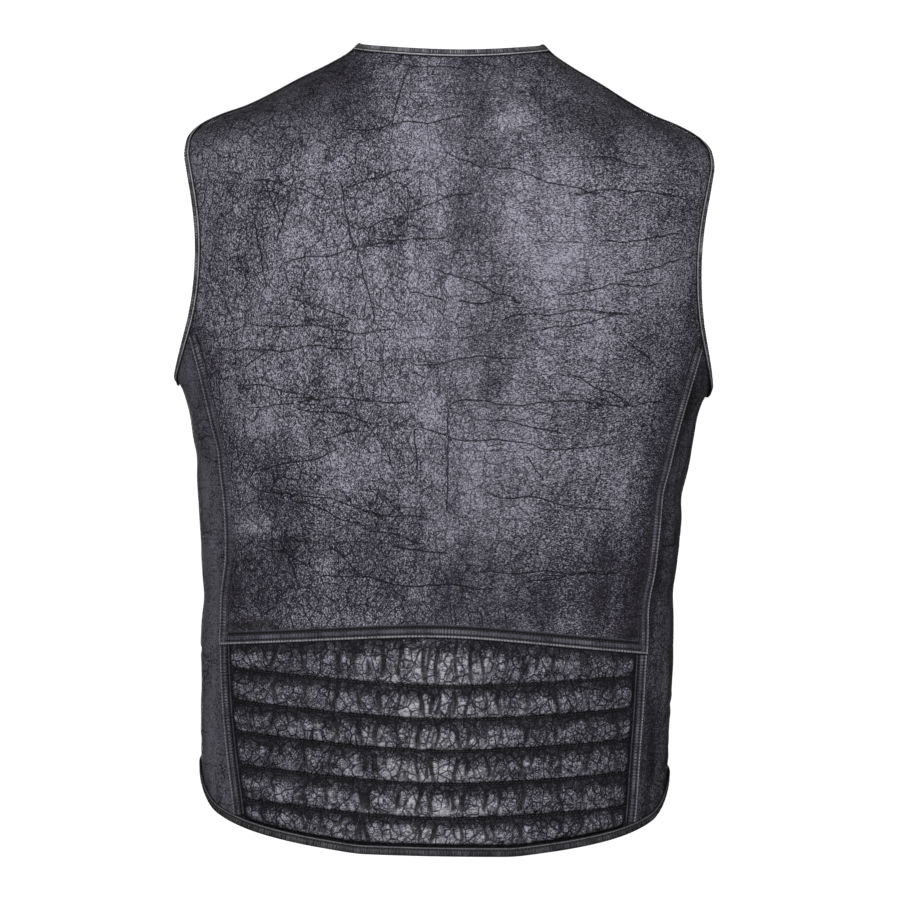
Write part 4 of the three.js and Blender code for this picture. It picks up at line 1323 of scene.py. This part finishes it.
def inward_spots(angle, z, side, inward, closed=False):
    """Spots that lie `inward` from an edge, square to it. side is 1 where the panel is on the left."""
    turn = 0.005
    drop = 0.5
    base = body_point(angle, z)
    around = (body_point(angle + turn, z) - base) / turn
    down = (body_point(angle, z - drop) - base) / -drop
    normal = body_normal(angle, z)
    if closed:
        along = np.roll(base, -2, axis=0) - np.roll(base, 2, axis=0)
    else:
        along = np.gradient(base, axis=0)
    inside = unit(np.cross(normal, along) * side)
    uu, uv, vv = (around * around).sum(-1), (around * down).sum(-1), (down * down).sum(-1)
    iu, iv = (inside * around).sum(-1), (inside * down).sum(-1)
    determinant = uu * vv - uv * uv
    turn_rate = (iu * vv - iv * uv) / determinant
    rise_rate = (iv * uu - iu * uv) / determinant
    return angle[:, None] + turn_rate[:, None] * inward, z[:, None] + rise_rate[:, None] * inward, inside


# A binding's section: how far in from the edge each point lies, how far out from the panel's face, and its
# shares of the gathers, the rubbed lip and the stitch groove, where shade is painted.
BINDING_SECTION = table(
    "inward out gather lip groove",
    (5.9, 0.75, 0, 0, 1),
    (5.75, 1.5, 0, 0, 0.9),
    (5.35, 2.1, 0, 0.4, 0.1),
    (4.9, 2.3, 0, 1, 0),
    (4.45, 2.1, 0, 0.7, 0),
    (4.0, 1.4, 0, 0, 1),
    (3.4, 1.3, 0, 0, 1),
    (2.9, 1.8, 0.5, 0, 0.3),
    (2.2, 2.05, 1, 0, 0),
    (1.2, 2.2, 1, 0, 0),
    (0.2, 2.15, 1, 0, 0),
    (-0.8, 1.8, 0.9, 0, 0),
    (-1.5, 1.1, 0.7, 0.2, 0),
    (-1.95, 0.1, 0.5, 0.3, 0),
    (-2.0, -1.0, 0.3, 0.3, 0),
    (-1.9, -2.2, 0.3, 0.1, 0),
    (-1.4, -3.2, 0.3, 0, 0),
    (-0.4, -3.8, 0.3, 0, 0),
    (1.5, -3.9, 0.3, 0, 0),
    (3.4, -3.6, 0, 0, 1),
    (5.9, -3.8, 0, 0, 0),
    (5.9, -2.75, 0, 0, 0),
    (-0.65, -2.75, 0, 0, 0),
    (-0.65, 0.72, 0, 0, 0),
)


GATHER_PITCH = 2.4
GATHER_DEPTH = 0.6
GATHER_WAVES = (37, 83)  # the lengths over which the gathers grow stronger and weaker
BINDING_WANDER = {"length": 29, "height": 0.12}


def gathers(gone, seed):
    """Narrow uneven valleys across a strip: 1 in the middle of a valley."""
    chance = np.random.default_rng(seed)
    count = int(gone[-1] / GATHER_PITCH) + 2
    middles = np.cumsum(chance.uniform(0.6, 1.4, count)) * GATHER_PITCH
    depth = chance.uniform(0.25, 1.0, count)
    width = chance.uniform(0.45, 0.75, count)
    nearest = np.clip(np.searchsorted(middles, gone), 1, count - 1)
    total = np.zeros(len(gone))
    for step in (-1, 0):
        i = nearest + step
        total = np.maximum(total, depth[i] * np.exp(-(((gone - middles[i]) / width[i]) ** 2)))
    short, long = GATHER_WAVES
    return total * (0.65 + 0.35 * np.sin(gone / short + seed) * np.sin(gone / long + 2 * seed))


def binding(name, node, angle, z, side, closed, seed, material):
    """A strip folded over a cut edge, with gathers, a rubbed lip and a stitch groove."""
    angle, z, gone = even_path(angle, z, STRIP_SPACING, closed)
    part = columns(BINDING_SECTION)
    inward, share = part["inward"], part["gather"]
    near_angle, near_z, inside = inward_spots(angle, z, side, np.maximum(inward, 0), closed)
    valleys = gathers(gone, seed)[:, None] * share
    wander = np.sin(gone / BINDING_WANDER["length"] + seed)[:, None] * BINDING_WANDER["height"]
    height = layer_offset(near_angle, near_z) + part["out"] - valleys * GATHER_DEPTH + wander * (share > 0)
    points = leather_point(near_angle, near_z, height)
    points = points + inside[:, None] * np.minimum(inward, 0)[None, :, None]
    rings, size = points.shape[:2]
    faces = tube_faces(rings, size, closed=closed, turned=side < 0)
    piece = new_piece(name, points.reshape(-1, 3), faces, [material])
    ones = np.ones((rings, 1))
    give(
        piece,
        along=gone[:, None] + 0 * share,
        gathered=share * ones,
        lip=part["lip"] * ones,
        # Painted shade: the grooves and the valleys of the gathers
        groove=np.clip(part["groove"] * ones + valleys * 1.1, 0, 1),
        puff=np.clip(share - 1.4 * valleys, 0, 1) * ones,
    )
    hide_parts(node)
    return piece, (angle, z, side, closed)


# A turned and stitched edge: how far in from the edge each point lies, its height over the panel, and
# its shares of the puckers, the rubbed lip and the stitch grooves, where shade is painted.
EDGE_SECTION = table(
    "inward out pucker lip groove",
    (-0.35, -0.9, 0, 0, 1),
    (-0.5, 0.1, 0, 0.1, 0.9),
    (-0.1, 0.75, 0, 0.5, 0.2),
    (0.4, 0.95, 0, 1, 0),
    (0.9, 0.75, 0.1, 0.3, 0.3),
    (1.3, 0.1, 0.1, 0, 1),
    (1.8, 0.1, 0.2, 0, 1),
    (2.2, 0.6, 0.8, 0, 0.1),
    (2.9, 0.85, 1, 0, 0),
    (3.6, 0.85, 1, 0, 0),
    (4.2, 0.5, 0.8, 0, 0.1),
    (4.6, 0.2, 0.2, 0, 1),
    (5.3, 0.2, 0.1, 0, 1),
    (6.0, 0.25, 0.1, 0, 0.9),
    (6.6, 0.2, 0.1, 0, 0.3),
    (7.4, -0.25, 0, 0, 0),
    (7.4, -0.9, 0, 0, 0),
)

EDGE_SPREAD = 1.5  # the strip's width as a multiple of its section's
PUCKER_PITCH = 2.6
PUCKER_DEPTH = 0.7


def turned_edge(name, angle, z, side, seed, strength, material, raised, rubbed):
    """A strip along a panel's edge: lip, stitch groove, puckered band and a second groove."""
    angle, z, gone = even_path(angle, z, STRIP_SPACING)
    part = columns(EDGE_SECTION)
    inward = part["inward"] * EDGE_SPREAD
    share, lip = part["pucker"], part["lip"]
    near_angle, near_z, _ = inward_spots(angle, z, side, inward)
    pillows = np.abs(np.sin(gone * math.pi / PUCKER_PITCH + 0.9 * np.sin(gone / 7 + seed)))
    uneven = 0.6 + 0.4 * np.sin(gone / 19 + seed)
    pull = (uneven * strength(z))[:, None]
    pucker = (pillows[:, None] - 0.5) * pull * share * PUCKER_DEPTH
    base = SEAM_RAISE * raised * (1 - ease(inward / SEAM_RAISE_WIDTH))
    points = leather_point(near_angle, near_z, base + part["out"] + pucker)
    rings, size = points.shape[:2]
    piece = new_piece(name, points.reshape(-1, 3), tube_faces(rings, size, turned=side > 0), [material])
    # Painted shade between the puckers, added to the grooves' painted shade
    ticks = np.clip(1 - 2.2 * pillows, 0, 1)[:, None] * (share + lip)
    give(
        piece,
        along=gone[:, None] + 0 * share,
        gathered=share * (0.35 + 0.4 * pull),
        lip=lip * rubbed * (0.15 + 0.85 * pillows[:, None]),
        groove=np.clip(part["groove"] + ticks * (0.5 + 0.5 * pull), 0, 1),
        puff=np.clip(share * pillows[:, None] * pull * rubbed * 1.3, 0, 1),
    )
    return piece


# A stitch: where each ring of it lies along its length, how high it stands and how thick it is
STITCH = table(
    "along rise thick",
    (-0.5, -0.25, 0.45),
    (-0.3, 0.1, 1),
    (0, 0.28, 1),
    (0.3, 0.1, 1),
    (0.5, -0.25, 0.45),
)
STITCH_PITCH = 3.0
CHANNEL_STITCH_PITCH = 3.2
STITCH_LENGTH = 2.3
STITCH_RADIUS = 0.33
STITCH_SIDES = 5
EDGE_ROWS = table("inward height", (1.45 * EDGE_SPREAD, 0.2), (4.9 * EDGE_SPREAD, 0.1))
BAND_ROW = {"inward": 3.6, "height": 1.5}
LAP_ROW = {"inward": 6.0, "height": 0.15, "top_z": -146, "bottom_z": -612}


class Stitches:
    """Rows of stitches gathered into one piece."""

    def __init__(self):
        self.points = []
        self.faces = []

    def row(self, angle, z, out, pitch=STITCH_PITCH):
        path = leather_point(angle, z, out)
        normals = body_normal(angle, z)
        steps = np.linalg.norm(np.diff(path, axis=0), axis=1)
        gone = np.concatenate([[0], np.cumsum(steps)])
        count = int(gone[-1] / pitch)
        starts = (np.arange(count) + 0.5) * gone[-1] / count
        part = columns(STITCH)
        at = starts[:, None] + part["along"] * STITCH_LENGTH
        thick = part["thick"] * STITCH_RADIUS

        def follow(values):
            return np.stack([np.interp(at, gone, values[:, k]) for k in range(3)], -1)

        middle = follow(path)
        up = unit(follow(normals))
        along = unit(np.gradient(middle, axis=1))
        across = unit(np.cross(up, along))
        middle = middle + up * part["rise"][:, None]
        first = sum(len(block) for block in self.points)
        rings = []
        for k in range(STITCH_SIDES):
            turn = math.tau * k / STITCH_SIDES
            ring = across * math.cos(turn) + up * math.sin(turn)
            rings.append(middle + ring * thick[:, None])
        self.points.append(np.stack(rings, 2).reshape(-1, 3))
        for stitch in range(count):
            start = first + stitch * len(STITCH) * STITCH_SIDES
            self.faces += tube_faces(len(STITCH), STITCH_SIDES, start)

    def row_inside(self, edge, row, side, raised=0, closed=False):
        """A row along an edge, some way in from it."""
        angle, z = edge
        near_angle, near_z, _ = inward_spots(angle, z, side, np.array([row["inward"]]), closed)
        near_angle, near_z = near_angle[:, 0], near_z[:, 0]
        lift = raised * (1 - ease(row["inward"] / SEAM_RAISE_WIDTH)) + row["height"]
        self.row(near_angle, near_z, layer_offset(near_angle, near_z) + lift)

    def piece(self, name, slot):
        made = new_piece(name, np.concatenate(self.points), self.faces, [THREAD])
        return made


def joined(*parts):
    return tuple(np.concatenate([part[k] for part in parts]) for k in range(2))


def cut(edge, start=None, stop=None, step=None):
    return tuple(values[start:stop:step] for values in edge)


def bindings(back, ribs, left, right):
    """Each binding's strip, and the edge that it covers."""
    neck_path = joined(cut(right["neck"], step=-1), cut(back["neck"], 1, -1), left["neck"])
    hem_path = joined(cut(right["hem"], step=-1), cut(ribs["hem"], 1, -1), left["hem"])
    made = [
        binding("neck_band", "neck_binding", *neck_path, 1, False, 3, BINDING),
        binding("hem_band", "hem_binding", *hem_path, -1, False, 5, HEM_BINDING),
    ]
    angle, z = back["rows"]
    first, last = BACK_ROWS[0], BACK_ROWS[0] + BACK_ROWS[1]
    for name, front, column, side, seed in (("left", left, -1, 1, 7), ("right", right, 0, -1, 9)):
        path = joined((angle[first:last, column], z[first:last, column]), cut(front["armhole"], stop=-1))
        node = f"armhole_binding_{name}"
        made.append(binding(f"armhole_band_{name}", node, *path, side, True, seed, BINDING))
    return made


# Turned edges of the back panel and of the ribbed piece
EDGE_START = SEAM_MEETS_ARMHOLE_Z - SEAM_RAISE_START + 2
EDGE_CORNER = LOWER_SEAM_Z - LOWER_SEAM_SIDE_DROP
EDGE_END = float(back_hem_height(1.0)) + BINDING_LEG - 1
EDGE_SHINE = {1: 0.6, -1: 0.85}  # how rubbed its lip is on the wearer's left and right
LOW_EDGE_SHINE = 0.7
LOW_PUCKER = 0.45
SEAM_PUCKER = 0.55
PLACE_PUCKER = 0.45
PUCKERED_PLACES = table("z reach", (-290, 40), (-545, 50))
CORNER_GAPS = (0.4, 1.2)
SIDE_STEPS = 200
RIB_SIDE_STEPS = 120
LOW_STEPS = np.linspace(-1, 1, 300)
SEWN_STEPS = 500
CHANNEL_STEPS = 400
LAP_STEPS = 400
CHANNEL_REACH = 0.955  # how far toward the side seams the channels are sewn
CHANNEL_STITCH_HEIGHT = 0.1


def side_edge(heights, side):
    return side * back_edge_angle(heights), heights


def low_edge():
    z = lower_seam_height(LOW_STEPS)
    return LOW_STEPS * back_edge_angle(z), z


def seam_strength(height):
    """How strongly a side seam puckers: most under the arm and beside the ribs."""
    near = [np.exp(-(((height - row["z"]) / row["reach"]) ** 2)) for row in PUCKERED_PLACES]
    return SEAM_PUCKER + PLACE_PUCKER * np.maximum(*near)


def turned_edges():
    strips = []
    for name, side in (("left", 1), ("right", -1)):
        upper = side_edge(np.linspace(EDGE_START, EDGE_CORNER - CORNER_GAPS[0], SIDE_STEPS), side)
        lower = side_edge(np.linspace(EDGE_CORNER - CORNER_GAPS[1], EDGE_END, RIB_SIDE_STEPS), side)
        settings = {"strength": seam_strength, "material": SIDE_EDGE, "rubbed": EDGE_SHINE[side]}
        strips.append(turned_edge(f"side_edge_{name}", *upper, side, side, raised=1, **settings))
        strips.append(turned_edge(f"rib_side_edge_{name}", *lower, side, 4 + side, raised=0, **settings))
    low = turned_edge(
        "lower_edge", *low_edge(), -1, 11, lambda z: LOW_PUCKER + 0 * z, LOWER_EDGE, 1, LOW_EDGE_SHINE
    )
    return strips, low


def sew_panels():
    seams = Stitches()
    for side in (1, -1):
        edge = side_edge(np.linspace(EDGE_START, EDGE_END, SEWN_STEPS), side)
        raised = np.where(edge[1] > EDGE_CORNER, SEAM_RAISE, 0.0)
        for row in EDGE_ROWS:
            seams.row_inside(edge, row, side, raised)
    for row in EDGE_ROWS:
        seams.row_inside(low_edge(), row, -1, SEAM_RAISE)
    u = np.linspace(-CHANNEL_REACH, CHANNEL_REACH, CHANNEL_STEPS)
    for height in CHANNELS_Z:
        z = height + CHANNEL_SIDE_RISE * u**2
        seams.row(u * back_edge_angle(z), z, CHANNEL_STITCH_HEIGHT + 0 * z, CHANNEL_STITCH_PITCH)
    return seams.piece("panel_stitching", "back_leather")


def sew_bindings(edges):
    seams = Stitches()
    for angle, z, side, closed in edges:
        seams.row_inside((angle, z), BAND_ROW, side, closed=closed)
    return seams.piece("binding_stitching", "binding_leather")


def sew_lap():
    seams = Stitches()
    heights = np.linspace(LAP_ROW["top_z"], LAP_ROW["bottom_z"], LAP_STEPS)
    angle = centre_front_angle(heights) - turn_for(LAP_ROW["inward"], math.pi, heights)
    seams.row(angle, heights, LAP_ROW["height"] + 0 * heights)
    return seams.piece("front_stitching", "front_leather")


# A stud's cap in section, from its base to its crown, as shares of its radius and its height
STUD_SECTION = table(
    "across up",
    (0.9, 0),
    (0.98, 0.06),
    (1, 0.2),
    (0.99, 0.36),
    (0.94, 0.5),
    (0.88, 0.55),
    (0.8, 0.62),
    (0.6, 0.84),
    (0.35, 0.96),
)
STUD_SIDES = 48


def press_studs():
    for number in range(STUDS["count"]):
        height = mix(STUDS["top_z"], STUDS["bottom_z"], number / (STUDS["count"] - 1))
        middle = leather_point(math.pi, height, SEAM_GAP)
        up = body_normal(math.pi, height)
        level = unit(np.cross(up, (0.0, 0.0, 1.0)))
        turns = np.linspace(0, math.tau, STUD_SIDES, endpoint=False)[:, None]
        ring = level * np.cos(turns) + np.cross(up, level) * np.sin(turns)
        rings = [
            middle + ring * row["across"] * STUDS["radius"] + up * row["up"] * STUDS["height"]
            for row in STUD_SECTION
        ]
        points = np.concatenate([*rings, [middle], [middle + up * STUDS["height"]]])
        faces = loop_quads(len(rings), STUD_SIDES)
        base, tip = len(points) - 2, len(points) - 1
        top = (len(rings) - 1) * STUD_SIDES
        for k in range(STUD_SIDES):
            after = (k + 1) % STUD_SIDES
            faces.append((after, k, base))
            faces.append((top + k, top + after, tip))
        stud = new_piece(f"stud_cap_{number + 1}", points, faces, [STUD_METAL])
        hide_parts(f"press_stud_{number + 1}")


def main():
    back, back_edges = back_panel()
    ribs, rib_edges = lower_back()
    left, left_edges = front_panel(1)
    right, right_edges = front_panel(-1)
    bands = bindings(back_edges, rib_edges, left_edges, right_edges)
    (neck, hem, left_hole, right_hole), covered = zip(*bands)
    strips, low_strip = turned_edges()
    sewing = sew_panels()
    band_sewing = sew_bindings(covered)
    front_sewing = sew_lap()
    press_studs()


# The room, in metres
FLOOR_Z = -1.0
FLOOR_RADIUS = 5.0
COVE_BEND = 1.2
WALL_TOP_Z = 5.0
COVE_BEND_STEPS = 14
COVE_SIDES = 96
PAPER_GLOW = 0.92
ROOM_LIGHT = 0.1
VEST_MIDDLE = (0, 0.05, -0.34)
LIGHTS = table(
    "name place size power seen",
    ("key", (0.7, 3.2, 0.3), (1.1, 1.5), 77, True),
    ("top", (-0.2, 1.6, 1.5), (1.2, 0.9), 13, True),
    ("fill", (-1.1, 3.0, -0.2), (1.1, 1.5), 17, True),
    ("front fill", (0, -2.7, -0.3), (1.6, 1.6), 60, False),
)


def soft_light(name, place, size, power, seen):
    data = bpy.data.lights.new(name, "AREA")
    data.shape = "RECTANGLE"
    data.size, data.size_y = size
    data.energy = power
    light = bpy.data.objects.new(name, data)
    light.location = place
    light.rotation_euler = (Vector(VEST_MIDDLE) - Vector(place)).to_track_quat("-Z", "Y").to_euler()
    light.visible_camera = seen
    bpy.context.collection.objects.link(light)


def studio():
    """A round cove of white paper, which adds no light to the vest's own, and soft lights."""
    wall = Look("pale paper", metallic=0.0, emission_color=(1, 1, 1, 1), emission_strength=PAPER_GLOW)
    speck = wall.noise(400, detail=2.0, shift=81)
    wall.set({"base_color": wall.colour(ink(244, 244, 245), ink(250, 250, 250), speck), "roughness": 0.9})
    wall.material.cycles.emission_sampling = "NONE"
    profile = [
        (FLOOR_RADIUS + COVE_BEND * math.sin(turn), FLOOR_Z + COVE_BEND * (1 - math.cos(turn)))
        for turn in np.linspace(0, TURN, COVE_BEND_STEPS)
    ]
    profile.append((FLOOR_RADIUS + COVE_BEND, WALL_TOP_Z))
    turns = np.linspace(0, math.tau, COVE_SIDES, endpoint=False)
    points = []
    for radius, z in profile:
        points += [(radius * math.cos(turn), radius * math.sin(turn), z) for turn in turns]
    faces = loop_quads(len(profile), COVE_SIDES)
    faces.append(tuple(range(COVE_SIDES - 1, -1, -1)))
    mesh = bpy.data.meshes.new("paper_cove")
    mesh.from_pydata(points, [], faces)
    mesh.materials.append(wall.material)
    mesh.shade_smooth()
    cove = bpy.data.objects.new("paper_cove", mesh)
    bpy.context.collection.objects.link(cove)
    cove.visible_glossy = False
    cove.visible_diffuse = False

    world = bpy.data.worlds.new("soft room")
    world.use_nodes = True
    world.node_tree.nodes["Background"].inputs["Color"].default_value = (1, 1, 1, 1)
    world.node_tree.nodes["Background"].inputs["Strength"].default_value = ROOM_LIGHT
    scene = bpy.context.scene
    scene.world = world
    scene.view_settings.view_transform = "Standard"
    for light in LIGHTS:
        soft_light(**light)


def camera():
    """The photograph's view: from behind, nearly level."""
    distance = 4.0
    elevation = math.radians(1.5)
    azimuth = math.radians(182)
    roll = math.radians(1.3)
    target = Vector((0, 0.06, -0.34))
    metres_per_pixel = 0.00084
    image = 900
    sensor = 36
    centre_across, centre_down = 444.5, 446.4
    data = bpy.data.cameras.new("camera")
    data.sensor_width = sensor
    data.lens = sensor * distance / (image * metres_per_pixel)
    data.shift_x = (image / 2 - centre_across) / image
    data.shift_y = (centre_down - image / 2) / image
    data.clip_end = 100
    level = math.cos(elevation)
    view = Vector((math.sin(azimuth) * level, math.cos(azimuth) * level, -math.sin(elevation)))
    eye = bpy.data.objects.new("camera", data)
    eye.location = target - view * distance
    turn = view.to_track_quat("-Z", "Y").to_matrix().to_4x4()
    eye.rotation_mode = "QUATERNION"
    eye.rotation_quaternion = (turn @ Matrix.Rotation(roll, 4, "Z")).to_quaternion()
    bpy.context.collection.objects.link(eye)
    bpy.context.scene.camera = eye


main()
studio()
camera()
